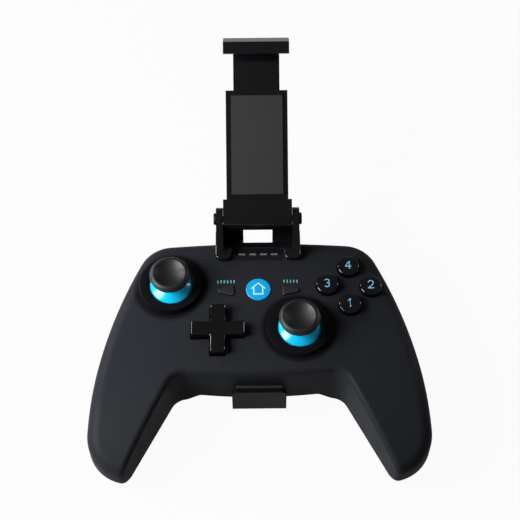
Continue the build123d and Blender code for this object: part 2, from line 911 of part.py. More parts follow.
# Cross pad on its ball
ball_z = face_z - cross_pivot_drop
disc_top = face_height(abs(cross_x) + cross_disc_radius) - wall - cross_tilt_room
cross_plan = plan_cross(cross_span, cross_arm, cross_corner)
with BuildPart() as dpad:
    with BuildSketch(Plane((cross_x, cross_y, disc_top - cross_disc_thickness))):
        add(cross_plan)
    extrude(amount=face_z + cross_proud - disc_top + cross_disc_thickness)
    with Locations((cross_x, cross_y, face_z + cross_proud + cross_bowl_radius - cross_bowl_depth)):
        Sphere(cross_bowl_radius, mode=Mode.SUBTRACT)
    fillet(dpad.edges().filter_by(lambda edge: edge.center().Z > face_z + 1), radius=cross_edge)
    with BuildSketch(Plane((cross_x, cross_y, disc_top))):
        Circle(cross_disc_radius)
    extrude(amount=-cross_disc_thickness)
    with BuildSketch(Plane((cross_x, cross_y, ball_z - cross_hub_depth))):
        Circle(cross_hub_radius)
    extrude(amount=disc_top - ball_z)
    with Locations((cross_x, cross_y, ball_z)):
        Sphere(cross_ball_radius + running, mode=Mode.SUBTRACT)
save(dpad.part, "dpad")

with BuildPart() as dpad_pivot:
    with Locations((cross_x, cross_y, ball_z)):
        Sphere(cross_ball_radius)
save(dpad_pivot.part, "dpad_pivot")

with BuildPart() as dpad_membrane:
    with BuildSketch(Plane((cross_x, cross_y, board_top))):
        Circle(cross_disc_radius)
        Circle(cross_post_radius + 1, mode=Mode.SUBTRACT)
    extrude(amount=mat_thickness)
    height = disc_top - cross_disc_thickness - cross_tilt_room - mat_top
    for step_x, step_y in ((1, 0), (-1, 0), (0, 1), (0, -1)):
        place = (cross_x + step_x * cross_switch_radius, cross_y + step_y * cross_switch_radius)
        with Locations((*place, mat_top + height / 2)):
            Cone(mat_dome_radius, mat_dome_radius - 0.7, height)
save(dpad_membrane.part, "dpad_membrane")

# Thumbstick mechanism, drawn round its own pivot point and then placed twice
board_level = board_top - pivot_z
with BuildPart() as stick_frame:
    with BuildSketch(Plane.XY.offset(board_level)):
        Rectangle(2 * stick_frame_half, 2 * stick_frame_half)
    extrude(amount=stick_frame_rise - board_level)
    with BuildSketch(Plane.XY.offset(board_level + stick_sheet)):
        Rectangle(2 * (stick_frame_half - stick_sheet), 2 * (stick_frame_half - stick_sheet))
    extrude(amount=stick_frame_rise - board_level, mode=Mode.SUBTRACT)
    Cylinder(trunnion_radius + running, 4 * stick_frame_half, rotation=(0, 90, 0), mode=Mode.SUBTRACT)
    Cylinder(trunnion_radius + running, 4 * stick_frame_half, rotation=(90, 0, 0), mode=Mode.SUBTRACT)

with BuildPart() as stick_sensors:
    middle = (board_level + trunnion_radius * 2) / 2
    height = trunnion_radius * 2 - board_level
    reach = stick_frame_half + running
    with Locations((reach + sensor_thickness / 2, 0, middle)):
        Box(sensor_thickness, sensor_width, height)
    with Locations((0, -reach - sensor_thickness / 2, middle)):
        Box(sensor_width, sensor_thickness, height)
    with Locations((-reach - sensor_thickness / 2, 0, board_level + switch_height / 2)):
        Box(sensor_thickness, sensor_width, switch_height)
    with Locations((reach, 0, 0)):
        Cylinder(trunnion_radius + loose, 2.2, rotation=(0, 90, 0), mode=Mode.SUBTRACT)
    with Locations((0, -reach, 0)):
        Cylinder(trunnion_radius + loose, 2.2, rotation=(90, 0, 0), mode=Mode.SUBTRACT)

with BuildPart() as lower_yoke:
    Box(2 * yoke_half_length, 2 * yoke_half_width, 2 * yoke_half_height)
    Cylinder(trunnion_radius, 2 * trunnion_reach, rotation=(0, 90, 0))
    Box(
        2 * hub_slot_half_length,
        2 * (hub_half_width + 0.15),
        4 * yoke_half_height,
        mode=Mode.SUBTRACT,
    )
    Cylinder(hub_pin_radius + running, 4 * yoke_half_width, rotation=(90, 0, 0), mode=Mode.SUBTRACT)

with BuildPart() as pivot_hub:
    Box(2 * hub_half_length, 2 * hub_half_width, 2 * yoke_half_height)
    Cylinder(hub_pin_radius, 2 * (yoke_half_width - running), rotation=(90, 0, 0))
    Cylinder(shaft_radius + running, 4 * yoke_half_height, mode=Mode.SUBTRACT)

with BuildPart() as upper_yoke:
    with BuildSketch(Plane.YZ) as arch:
        Circle(arch_outer_radius)
        with Locations((0, -arch_outer_radius / 2)):
            Rectangle(2 * arch_outer_radius, arch_outer_radius)
        Circle(arch_inner_radius, mode=Mode.SUBTRACT)
        with Locations((0, -arch_outer_radius / 2)):
            Rectangle(2 * arch_inner_radius, arch_outer_radius, mode=Mode.SUBTRACT)
        with Locations((0, -arch_outer_radius)):
            Rectangle(
                4 * arch_outer_radius, 2 * (arch_outer_radius - yoke_half_height), mode=Mode.SUBTRACT
            )
    extrude(amount=arch_half_width, both=True)
    for side in (1, -1):
        with BuildSketch(front_view(0, side * (trunnion_reach + arch_inner_radius) / 2)):
            Circle(trunnion_radius)
        extrude(amount=(trunnion_reach - arch_inner_radius) / 2, both=True)
    with BuildSketch(Plane.XY):
        Rectangle(2 * (shaft_radius + arch_slot_gap), arch_slot_length)
    extrude(amount=2 * arch_outer_radius, mode=Mode.SUBTRACT)

cap_base = cap_rise + stick_pivot_drop
tube_top = cap_base - cap_depth
with BuildPart() as stick_shaft:
    with BuildSketch(Plane.XY.offset(-yoke_half_height + running)):
        Circle(shaft_radius)
    extrude(amount=tube_top + shaft_grip + yoke_half_height)
    fillet(stick_shaft.edges().group_by(Axis.Z)[-1], radius=shaft_radius / 3)

with BuildPart() as stick_dome:
    with BuildSketch(Plane.XZ) as profile:
        Circle(dome_radius)
        Circle(dome_radius - dome_thickness, mode=Mode.SUBTRACT)
        with Locations((shaft_radius + dome_tube_wall / 2, (dome_tube_base + tube_top) / 2)):
            Rectangle(dome_tube_wall, tube_top - dome_tube_base)
        with Locations((-overrun / 2 + shaft_radius + running, 0)):
            Rectangle(overrun, 4 * overrun, mode=Mode.SUBTRACT)
        with Locations((0, dome_rim_height - overrun)):
            Rectangle(4 * overrun, 2 * overrun, mode=Mode.SUBTRACT)
    revolve(axis=Axis.Z)

rim_top = dish_rise + stick_pivot_drop
with BuildPart() as stick_cap:
    with BuildSketch(Plane.XZ) as profile:
        with BuildLine():
            flare = ThreePointArc(
                (cap_neck_radius, tube_top),
                (cap_neck_radius + 1.2, tube_top + 1.7),
                (cap_radius - cap_edge, cap_base - cap_edge),
            )
            side = ThreePointArc(
                flare @ 1,
                (cap_radius, cap_base),
                (cap_radius - cap_edge / 2, cap_base + cap_edge),
            )
            shoulder = side @ 1
            dish_edge = ThreePointArc(
                shoulder,
                (
                    (shoulder.X + dish_radius) / 2 + cap_bulge / 2,
                    (shoulder.Y + rim_top) / 2 + cap_bulge,
                ),
                (dish_radius, rim_top),
            )
            dish = ThreePointArc(
                dish_edge @ 1,
                (dish_radius / 2, rim_top - 0.75 * dish_depth),
                (0, rim_top - dish_depth),
            )
            Polyline(dish @ 1, (0, tube_top), flare @ 0)
        make_face()
    revolve(axis=Axis.Z)
    fillet(stick_cap.edges().group_by(Axis.Z)[-1], radius=cap_edge / 2)
    with BuildSketch(Plane.XY.offset(tube_top)):
        Circle(shaft_radius + running)
    extrude(amount=shaft_grip + running, mode=Mode.SUBTRACT)

stick_pieces = {
    "stick_frame": stick_frame.part,
    "stick_sensors": stick_sensors.part,
    "lower_yoke": lower_yoke.part,
    "pivot_hub": pivot_hub.part,
    "upper_yoke": upper_yoke.part,
    "stick_shaft": stick_shaft.part,
    "stick_dome": stick_dome.part,
    "stick_cap": stick_cap.part,
}
for side, (x, y) in stick_places.items():
    for name, piece in stick_pieces.items():
        save(piece.moved(Location((x, y, pivot_z))), f"{side}_{name}")

# Shoulder buttons
def bumper(side):
    """Shoulder button with an arm to the post it turns on."""
    top = face_z - bumper_top_drop
    outer_y = back_y + bumper_proud
    with BuildPart() as pad:
        with BuildSketch(Plane.XY.offset(top - bumper_height)):
            with Locations((side * bumper_pivot_x, bumper_pivot_y)):
                Circle(bumper_eye_radius)
            with Locations((side * (bumper_pivot_x + bumper_start_x + 2) / 2, bumper_pivot_y)):
                Rectangle(bumper_start_x + 2 - bumper_pivot_x, 2 * bumper_eye_radius - 1)
            with BuildLine():
                Polyline(
                    (side * bumper_start_x, bumper_pivot_y),
                    (side * bumper_start_x, outer_y),
                    (side * bumper_end_x, outer_y + corner_y - back_y),
                    (side * bumper_end_x, bumper_inner_y),
                    (side * (bumper_start_x + 2 * bumper_eye_radius), bumper_inner_y),
                    close=True,
                )
            make_face()
        extrude(amount=bumper_height)
        outer_face = pad.faces().sort_by(Axis.Y)[-1]
        fillet(outer_face.edges(), radius=bumper_edge)
        with Locations((side * bumper_pivot_x, bumper_pivot_y, top)):
            Cylinder(bumper_post_radius + running, 3 * bumper_height, mode=Mode.SUBTRACT)
    return pad.part


def trigger(side):
    """Curved trigger on a cross pin, with a slot for its spring."""
    axle_y, axle_z = trigger_axle
    length = trigger_end_x - trigger_start_x
    start_x = trigger_start_x if side > 0 else -trigger_end_x
    with BuildPart() as finger:
        with BuildSketch(Plane.YZ.offset(start_x)) as profile:
            with BuildLine():
                outer_curve = ThreePointArc(
                    (axle_y, axle_z + trigger_hub_radius),
                    (axle_y + trigger_top_y, axle_z + trigger_top_rise),
                    (axle_y + trigger_tip_y, axle_z - trigger_tip_drop),
                )
                inner_curve = ThreePointArc(
                    (axle_y + trigger_tip_y - trigger_tip_thickness, axle_z - trigger_tip_drop),
                    (axle_y + trigger_top_y, axle_z + trigger_top_rise - trigger_blade),
                    (axle_y + trigger_heel, axle_z - trigger_heel),
                )
                Line(outer_curve @ 1, inner_curve @ 0)
                Line(inner_curve @ 1, outer_curve @ 0)
            make_face()
            tips = profile.vertices().group_by(Axis.Y)[0]
            fillet(tips, radius=trigger_corner)
            with Locations(trigger_axle):
                Circle(trigger_hub_radius)
        extrude(amount=length)
        with BuildSketch(Plane.YZ.offset(side * spring_slot_x - spring_slot_width / 2)):
            with Locations(trigger_axle):
                Circle(spring_slot_radius)
        extrude(amount=spring_slot_width, mode=Mode.SUBTRACT)
        with Locations((start_x + length / 2, *trigger_axle)):
            Cylinder(
                trigger_pin_radius + running, 2 * length, rotation=(0, 90, 0), mode=Mode.SUBTRACT
            )
    return finger.part


def coil(radius, pitch, length, place, direction):
    """Coil spring of thin wire."""
    with BuildPart() as spring:
        with BuildLine():
            path = Helix(pitch, length, radius, center=place, direction=direction)
        with BuildSketch(Plane(origin=path @ 0, z_dir=path % 0)):
            RegularPolygon(spring_wire, 6)
        sweep(path=path, is_frenet=True)
    return spring.part


for name, side in (("left", -1), ("right", 1)):
    save(bumper(side), f"{name}_bumper")
    save(trigger(side), f"{name}_trigger")
    coil_start = side * spring_slot_x - spring_length / 2
    spring = coil(
        spring_radius, spring_pitch, spring_length, (coil_start, *trigger_axle), (1, 0, 0)
    )
    save(spring, f"{name}_trigger_spring")

pin_length = trigger_end_x - trigger_start_x + 2 * loose + 2 * trigger_ear
with BuildPart() as trigger_pins:
    for side in (1, -1):
        with Locations((side * (trigger_start_x + trigger_end_x) / 2, *trigger_axle)):
            Cylinder(trigger_pin_radius, pin_length, rotation=(0, 90, 0))
save(trigger_pins.part, "trigger_pins")

# Bracket frame that clips onto the body
tunnel_section = Plane(
    origin=(0, 0, tunnel_height(0)),
    x_dir=(0, cos(tunnel_tilt), -sin(tunnel_tilt)),
    z_dir=(1, 0, 0),
)
pivot_height = face_z + pivot_rise
rear_y = rear_wall_y + rear_wall_thickness
wall_top = face_z + rear_wall_rise
slider_top = -pad_gap - slider_roof
slider_bottom = slider_top - slider_thickness
claw_low = face_z + claw_gap
claw_outer_x = bracket_half_width + claw_overhang
cradle_half_width = bracket_half_width - cheek_thickness - cheek_gap
cover_posts = both_sides([(cover_post_x, cover_back_y - 3), (cover_post_x, cover_front_y + 3)])


def cover_top(y):
    """Height of the hook cover's upper face, just under the slider."""
    return tunnel_height(y) + slider_bottom - channel_gap


with BuildSketch() as mouth:
    with Locations((0, (arch_back_y + claw_front_y - overrun) / 2)):
        Rectangle(2 * claw_inner_x, arch_back_y - claw_front_y + overrun)
    fillet(mouth.vertices().group_by(Axis.Y)[-1], radius=arch_corner_radius)

with BuildPart() as claw_plate:
    with BuildSketch(Plane.XY.offset(claw_low)) as claws:
        with Locations((0, (claw_front_y + rear_wall_y + 1) / 2)):
            Rectangle(2 * claw_outer_x, rear_wall_y + 1 - claw_front_y)
        add(mouth.sketch, mode=Mode.SUBTRACT)
        fillet(claws.vertices().group_by(Axis.Y)[0], radius=claw_round)
    extrude(amount=claw_thickness)
    upper_edges = claw_plate.edges().group_by(Axis.Z)[-1]
    fillet(upper_edges.filter_by(lambda edge: edge.center().Y < rear_wall_y), radius=claw_edge)

with BuildPart() as lip:
    with BuildSketch(Plane.XY.offset(face_z - face_edge_radius / 2)):
        with Locations((0, (arch_back_y + rear_wall_y) / 2)):
            Rectangle(2 * claw_inner_x + 2, rear_wall_y - arch_back_y + 1)
        add(mouth.sketch, mode=Mode.SUBTRACT)
    extrude(amount=face_edge_radius / 2 + lip_rise)
    with Locations((0, back_y - face_edge_radius, face_z - face_edge_radius)):
        Cylinder(
            face_edge_radius + loose, 4 * claw_outer_x, rotation=(0, 90, 0), mode=Mode.SUBTRACT
        )

with BuildPart() as clip_frame:
    with BuildSketch(Plane.YZ) as side_view:
        with BuildLine():
            Polyline(
                (rear_y, 0),
                (plate_front_y, 0),
                (plate_front_y, tunnel_height(plate_front_y) - pad_gap),
                (rear_wall_y, tunnel_height(rear_wall_y) - pad_gap),
                (rear_wall_y, wall_top),
                (rear_y, wall_top),
                close=True,
            )
        make_face()
        foot = side_view.vertices().filter_by(lambda corner: corner.Y < 0.01 and corner.X > 0)
        fillet(foot, radius=rear_wall_thickness)
    extrude(amount=bracket_half_width, both=True)
    for side in (1, -1):
        with BuildSketch(Plane.YZ.offset(side * (bracket_half_width - cheek_thickness / 2))):
            with BuildLine():
                Polyline(
                    (claw_front_y + claw_thickness, claw_low),
                    (claw_front_y + claw_thickness, claw_low + claw_thickness),
                    (
                        pivot_y + pivot_disc_radius * cos(radians(cheek_front_angle)),
                        pivot_height + pivot_disc_radius * sin(radians(cheek_front_angle)),
                    ),
                    (
                        pivot_y + pivot_disc_radius * cos(radians(cheek_back_angle)),
                        pivot_height + pivot_disc_radius * sin(radians(cheek_back_angle)),
                    ),
                    (rear_y, face_z - overrun / 4),
                    (rear_wall_y, face_z - overrun / 4),
                    (rear_wall_y, claw_low),
                    close=True,
                )
            make_face()
            with Locations((pivot_y, pivot_height)):
                Circle(pivot_disc_radius)
        extrude(amount=cheek_thickness / 2, both=True)
    add(claw_plate.part)
    add(lip.part)
    with BuildSketch(Plane.XY.offset(face_z + lip_rise)):
        with Locations((0, arch_back_y + 2)):
            Rectangle(2 * claw_inner_x, 2 * (rear_wall_y - arch_back_y - 2))
    extrude(amount=overrun, mode=Mode.SUBTRACT)
    with BuildSketch(front_view(0, rear_y + 1, face_z - window_low_drop)) as notch:
        with Locations((0, overrun)):
            Rectangle(2 * window_half_opening, 2 * overrun)
        fillet(notch.vertices().group_by(Axis.Y)[0], radius=rear_wall_thickness / 2)
    extrude(amount=rear_y + 1 - lip_back_y, mode=Mode.SUBTRACT)
    with Locations((0, pivot_y, pivot_height)):
        Cylinder(
            pivot_pin_radius + running, 3 * bracket_half_width, rotation=(0, 90, 0), mode=Mode.SUBTRACT
        )
        Cylinder(
            pivot_disc_radius + loose, 2 * (bracket_half_width - cheek_thickness),
            rotation=(0, 90, 0),
            mode=Mode.SUBTRACT,
        )
    with BuildSketch(tunnel_section):
        with Locations(
            ((plate_front_y - 1 + slider_back_y + 1) / 2, (slider_top + slider_bottom) / 2)
        ):
            Rectangle(slider_back_y - plate_front_y + 2, slider_thickness + 2 * channel_gap)
    extrude(amount=slider_half_width + channel_gap, both=True, mode=Mode.SUBTRACT)
    with BuildSketch(Plane.XY) as pocket:
        with Locations((0, (cover_front_y + cover_back_y) / 2)):
            Rectangle(2 * cover_half_width, cover_back_y - cover_front_y)
        fillet(pocket.vertices(), radius=claw_thickness)
    extrude(amount=tunnel_height(cover_front_y) - pad_gap - slider_roof, mode=Mode.SUBTRACT)
    with BuildSketch(tunnel_section):
        with Locations(((plate_front_y + rear_wall_y) / 2, -pad_gap - slider_roof / 2)):
            Rectangle(rear_wall_y - plate_front_y - 2, slider_roof)
    extrude(amount=bracket_half_width - 1, both=True)
    for x, y in cover_posts:
        top = tunnel_height(y) - pad_gap - slider_roof / 2
        post_end = cover_top(y) + cover_post_radius * tunnel_slope
        with BuildSketch(Plane((x, y, post_end))):
            Circle(cover_post_radius)
        extrude(amount=top - post_end)
        with Locations((x, y, cover_top(y))):
            Cylinder(small_screw_radius + running / 2, 2 * small_screw_reach, mode=Mode.SUBTRACT)
save(clip_frame.part, "clip_frame")

with BuildPart() as clip_pads:
    with BuildSketch(tunnel_section):
        with Locations(((plate_front_y + back_y) / 2, -pad_gap * cos(tunnel_tilt) / 2)):
            Rectangle(back_y - plate_front_y - 4 * pad_gap, pad_gap * cos(tunnel_tilt))
    extrude(amount=bracket_half_width - 2 * pad_gap, both=True)
    claw_width = claw_outer_x - claw_inner_x - 2 * loose
    with BuildSketch(Plane.XY.offset(claw_low)) as claw_pads:
        with Locations(*both_sides([((claw_outer_x + claw_inner_x) / 2, claw_front_y + claw_width / 2)])):
            Rectangle(claw_width, claw_width - 2 * loose)
        fillet(claw_pads.vertices().group_by(Axis.Y)[0], radius=claw_round - loose)
    extrude(amount=face_height(claw_inner_x + loose) - claw_low)
save(clip_pads.part, "clip_pads")

with BuildPart() as hook_cover:
    with BuildSketch(Plane.YZ):
        with BuildLine():
            front_y = cover_front_y + channel_gap
            rear_end_y = cover_back_y - channel_gap
            Polyline(
                (front_y, 0),
                (rear_end_y, 0),
                (rear_end_y, cover_top(rear_end_y)),
                (front_y, cover_top(front_y)),
                close=True,
            )
        make_face()
    extrude(amount=cover_half_width - channel_gap, both=True)
    fillet(hook_cover.edges().filter_by(Axis.Z), radius=claw_thickness)
    for x, y in cover_posts:
        with BuildSketch(Plane((x, y, 0))):
            Circle(small_screw_head_radius + channel_gap)
        extrude(amount=cover_top(y) - cover_thickness, mode=Mode.SUBTRACT)
        with Locations((x, y, cover_top(y))):
            Cylinder(small_screw_radius + running, 4 * cover_thickness, mode=Mode.SUBTRACT)
    with BuildSketch(tunnel_section):
        with Locations((hook_peg_y, (slider_top + slider_bottom) / 2)):
            Rectangle(hook_peg_length, slider_thickness)
    extrude(amount=slider_slot_half_width - loose, both=True)
    with BuildSketch(tunnel_section):
        with Locations((hook_peg_y, slider_bottom)):
            Rectangle(hook_peg_length, 2 * channel_gap + running)
    extrude(amount=slider_slot_half_width - loose, both=True)
save(hook_cover.part, "hook_cover")

hook_screws = Compound(
    children=[
        screw(
            x,
            y,
            cover_top(y) - cover_thickness,
            small_screw_head_radius,
            small_screw_head_height,
            small_screw_radius,
            cover_thickness + small_screw_reach,
        )
        for x, y in cover_posts
    ]
)
save(hook_screws, "hook_screws")

# Sprung hook under the front wall
hook_back = (crotch_y - front_bow) / cos(tunnel_tilt) - hook_gap_y
hook_top = hook_top_z - tunnel_height(crotch_y - front_bow)
with BuildPart() as lower_hook:
    with BuildSketch(tunnel_section):
        with Locations(((hook_back - 1 + slider_back_y) / 2, (slider_top + slider_bottom) / 2)):
            Rectangle(slider_back_y - hook_back + 1, slider_thickness)
    extrude(amount=slider_half_width, both=True)
    with BuildSketch(tunnel_section) as flange:
        with Locations((hook_back - hook_thickness / 2, (hook_top + slider_bottom) / 2)):
            Rectangle(hook_thickness, hook_top - slider_bottom)
        outer_corner = flange.vertices().sort_by(Axis.X)[:2].sort_by(Axis.Y)[0]
        fillet(outer_corner, radius=hook_thickness - loose)
    extrude(amount=hook_half_width, both=True)
    ends = lower_hook.edges().filter_by(lambda edge: abs(edge.center().X) > hook_half_width - loose)
    fillet(ends.group_by(Axis.Z, tol_digits=1)[-1], radius=hook_corner)
    with BuildSketch(tunnel_section):
        with Locations(((hook_slot_front + hook_slot_back) / 2, slider_top)):
            Rectangle(hook_slot_back - hook_slot_front, 4 * slider_thickness)
    extrude(amount=slider_slot_half_width, both=True, mode=Mode.SUBTRACT)
save(lower_hook.part, "lower_hook")

with BuildPart() as hook_pad:
    with BuildSketch(tunnel_section):
        with Locations((hook_back + hook_pad_thickness / 2, (hook_top + pad_gap) / 2)):
            Rectangle(hook_pad_thickness, hook_top - 2 * pad_gap)
    extrude(amount=slider_half_width, both=True)
save(hook_pad.part, "hook_pad")

spring_level = (slider_top + slider_bottom) / 2
spring_front = hook_peg_y + hook_peg_length / 2 + spring_wire
spring_start = tunnel_section.from_local_coords((spring_front, spring_level))
hook_spring = coil(
    hook_spring_radius,
    hook_spring_pitch,
    hook_slot_back - spring_front - spring_wire,
    spring_start,
    tunnel_section.x_dir,
)
save(hook_spring, "hook_spring")

# Cradle, which tilts on the bracket's pin
rest = radians(rest_angle)
cradle_section = Plane(
    origin=(0, pivot_y, pivot_height), x_dir=(0, cos(rest), sin(rest)), z_dir=(1, 0, 0)
)
cradle_rear = Plane(
    origin=(0, pivot_y, pivot_height), x_dir=(1, 0, 0), z_dir=(0, -sin(rest), cos(rest))
)
block_s = ledge_s - ledge_pad
back_rear_n = stem_rear_n - channel_gap - cover_thickness
back_middle_s = (block_start_s + back_end_s) / 2
with BuildPart() as phone_cradle:
    with BuildSketch(cradle_section) as block:
        Circle(pivot_disc_radius)
        with Locations((block_s / 2, 0)):
            Rectangle(block_s, 2 * pivot_disc_radius)
        lip_length = ledge_s + lip_overlap
        with Locations((lip_length / 2, phone_front_n + lip_thickness / 2)):
            Rectangle(lip_length, lip_thickness)
        fillet(block.vertices().group_by(Axis.X)[-1], radius=lip_thickness / 3)
    extrude(amount=cradle_half_width, both=True)
    with BuildSketch(cradle_section):
        with Locations((back_middle_s, (back_front_n + back_rear_n) / 2)):
            Rectangle(back_end_s - block_start_s, back_front_n - back_rear_n)
    extrude(amount=back_half_width, both=True)
    with BuildSketch(cradle_section):
        with Locations((channel_start_s + overrun * 2, (stem_front_n + stem_rear_n) / 2)):
            Rectangle(4 * overrun, stem_front_n - stem_rear_n + 2 * channel_gap)
    extrude(amount=stem_half_width + channel_gap, both=True, mode=Mode.SUBTRACT)
    with BuildSketch(cradle_section):
        with Locations((back_middle_s, back_rear_n)):
            Rectangle(back_end_s - block_start_s - 2 * claw_thickness, 2 * cover_thickness)
    extrude(amount=back_half_width - window_gap, both=True, mode=Mode.SUBTRACT)
    with BuildSketch(cradle_rear.offset(back_rear_n + cover_thickness)):
        with Locations(*cradle_screw_places):
            Circle(small_screw_radius + running / 2)
    extrude(amount=small_screw_reach, mode=Mode.SUBTRACT)
    with Locations((0, pivot_y, pivot_height)):
        Cylinder(
            pivot_pin_radius + running, 3 * bracket_half_width, rotation=(0, 90, 0), mode=Mode.SUBTRACT
        )
save(phone_cradle.part, "phone_cradle")

with BuildPart() as cradle_cover:
    with BuildSketch(cradle_section):
        with Locations((back_middle_s, back_rear_n + cover_thickness / 2)):
            Rectangle(
                back_end_s - block_start_s - 2 * claw_thickness - 2 * channel_gap, cover_thickness
            )
    extrude(amount=back_half_width - window_gap - channel_gap, both=True)
    with BuildSketch(cradle_rear.offset(back_rear_n)):
        with Locations(*cradle_screw_places):
            Circle(small_screw_head_radius + running)
    extrude(amount=small_screw_head_height, mode=Mode.SUBTRACT)
    with BuildSketch(cradle_rear.offset(back_rear_n)):
        with Locations(*cradle_screw_places):
            Circle(small_screw_radius + running)
    extrude(amount=cover_thickness, mode=Mode.SUBTRACT)
save(cradle_cover.part, "cradle_cover")

upright_screw = screw(
    0,
    0,
    small_screw_head_height,
    small_screw_head_radius,
    small_screw_head_height,
    small_screw_radius,
    cover_thickness + small_screw_reach - small_screw_head_height,
)
rear_face = cradle_rear.offset(back_rear_n)
cradle_screws = Compound(
    children=[
        upright_screw.moved(rear_face.location * Location((x, s, 0)))
        for x, s in cradle_screw_places
    ]
)
save(cradle_screws, "cradle_screws")

with BuildPart() as hinge_pin:
    with Locations((0, pivot_y, pivot_height)):
        Cylinder(pivot_pin_radius, 2 * bracket_half_width, rotation=(0, 90, 0))
    for side in (1, -1):
        with BuildSketch(Plane.YZ.offset(side * bracket_half_width)):
            with Locations((pivot_y, pivot_height)):
                Circle(pin_head_radius)
        extrude(amount=side * pin_head_height)
        outer_rim = hinge_pin.faces().filter_by(Axis.X).sort_by(Axis.X)[-1 if side > 0 else 0]
        fillet(outer_rim.edges(), radius=pin_head_height / 2)
save(hinge_pin.part, "hinge_pin")

with BuildPart() as phone_pads:
    with BuildSketch(cradle_section):
        with Locations((block_s + ledge_pad / 2, (phone_back_n + phone_front_n) / 2)):
            Rectangle(ledge_pad, phone_front_n - phone_back_n - 2 * loose)
    extrude(amount=cradle_half_width - 2 * loose, both=True)
    with BuildSketch(cradle_section):
        with Locations((back_middle_s + ledge_s / 2, (phone_back_n + back_front_n) / 2)):
            Rectangle(back_end_s - 2 * ledge_s, phone_back_n - back_front_n)
    extrude(amount=stem_half_width + ledge_pad, both=True)
save(phone_pads.part, "phone_pads")

# Sliding upper jaw
jaw_s = ledge_s + opening_length + ledge_pad
jaw_end_s = jaw_s + jaw_thickness
jaw_front_n = phone_front_n + lip_thickness
with BuildPart() as upper_jaw:
    with BuildSketch(cradle_section):
        with Locations(((stem_start_s + jaw_s + 1) / 2, (stem_front_n + stem_rear_n) / 2)):
            Rectangle(jaw_s + 1 - stem_start_s, stem_front_n - stem_rear_n)
    extrude(amount=stem_half_width, both=True)
    with BuildSketch(cradle_section) as head:
        with BuildLine():
            Polyline(
                (jaw_s, stem_rear_n),
                (jaw_end_s, stem_rear_n),
                (jaw_end_s, jaw_slope_start_n),
                (jaw_end_s - jaw_slope_drop, jaw_front_n),
                (jaw_s - ledge_pad - jaw_lip_overlap, jaw_front_n),
                (jaw_s - ledge_pad - jaw_lip_overlap, phone_front_n),
                (jaw_s, phone_front_n),
                close=True,
            )
        make_face()
        fillet(head.vertices().filter_by(lambda corner: corner.X > jaw_s + 1), radius=jaw_edge)
    extrude(amount=jaw_half_width, both=True)
save(upper_jaw.part, "upper_jaw")

with BuildPart() as jaw_pad:
    with BuildSketch(cradle_section):
        with Locations((jaw_s - ledge_pad / 2, (phone_back_n + phone_front_n) / 2)):
            Rectangle(ledge_pad, phone_front_n - phone_back_n - 2 * loose)
    extrude(amount=jaw_half_width - 2 * loose, both=True)
save(jaw_pad.part, "jaw_pad")
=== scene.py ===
import json
from math import cos, pi, radians, sin

import bmesh
import bpy
from mathutils import Matrix, Vector
from mathutils.bvhtree import BVHTree
from mathutils.geometry import delaunay_2d_cdt


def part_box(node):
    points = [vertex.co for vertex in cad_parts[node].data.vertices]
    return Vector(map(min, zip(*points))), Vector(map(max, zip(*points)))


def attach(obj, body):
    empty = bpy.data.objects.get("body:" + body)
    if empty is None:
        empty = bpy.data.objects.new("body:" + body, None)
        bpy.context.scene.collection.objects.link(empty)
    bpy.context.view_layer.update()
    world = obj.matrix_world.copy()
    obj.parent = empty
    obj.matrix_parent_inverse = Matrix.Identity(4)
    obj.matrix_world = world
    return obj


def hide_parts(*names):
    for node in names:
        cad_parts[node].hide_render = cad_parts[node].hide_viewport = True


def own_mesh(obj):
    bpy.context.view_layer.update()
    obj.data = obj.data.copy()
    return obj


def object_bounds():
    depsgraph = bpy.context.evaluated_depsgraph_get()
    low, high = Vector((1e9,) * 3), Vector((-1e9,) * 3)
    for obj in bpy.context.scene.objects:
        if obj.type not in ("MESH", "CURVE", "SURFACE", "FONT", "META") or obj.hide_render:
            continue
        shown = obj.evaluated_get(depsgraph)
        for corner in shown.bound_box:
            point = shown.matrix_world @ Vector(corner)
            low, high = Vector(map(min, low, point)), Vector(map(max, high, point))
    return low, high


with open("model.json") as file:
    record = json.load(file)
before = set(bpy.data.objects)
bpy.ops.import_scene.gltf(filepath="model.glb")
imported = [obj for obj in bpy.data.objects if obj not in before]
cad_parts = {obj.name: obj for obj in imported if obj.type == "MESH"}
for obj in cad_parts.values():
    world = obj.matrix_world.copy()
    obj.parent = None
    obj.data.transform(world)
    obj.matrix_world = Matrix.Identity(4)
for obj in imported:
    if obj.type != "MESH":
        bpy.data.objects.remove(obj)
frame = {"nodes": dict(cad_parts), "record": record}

# Sizes are in metres and colours are linear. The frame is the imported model's own:
# X to the player's right, Y away from the player, Z up, the table at Z = 0.
mm = 0.001
cad_low, cad_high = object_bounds()

face_z = 34.0 * mm
home_place = Vector((0, 0, face_z))

# Camera, from the photograph's frame of 520 by 520 pixels
photo_width = 520
focal_pixels = 1313.0
sensor_width = 36.0
camera_elevation = 58.5
camera_roll = -0.55
camera_offset = Vector((0.9, -302.0, 518.7)) * mm


def add_object(name, mesh, body=None, replaced=()):
    """Puts a mesh in the scene as a piece that rides on a body."""
    piece = bpy.data.objects.new(name, mesh)
    bpy.context.scene.collection.objects.link(piece)
    if body:
        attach(piece, body)
    if replaced:
        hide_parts(*replaced)
    return piece


# Shader groups

def new_group(name, inputs, outputs):
    """An empty shader node group with named float or colour sockets."""
    group = bpy.data.node_groups.new(name, "ShaderNodeTree")
    for label, kind, value in inputs:
        socket = group.interface.new_socket(label, in_out="INPUT", socket_type=kind)
        socket.default_value = value
    for label, kind in outputs:
        group.interface.new_socket(label, in_out="OUTPUT", socket_type=kind)
    start = group.nodes.new("NodeGroupInput")
    end = group.nodes.new("NodeGroupOutput")
    return group, start, end


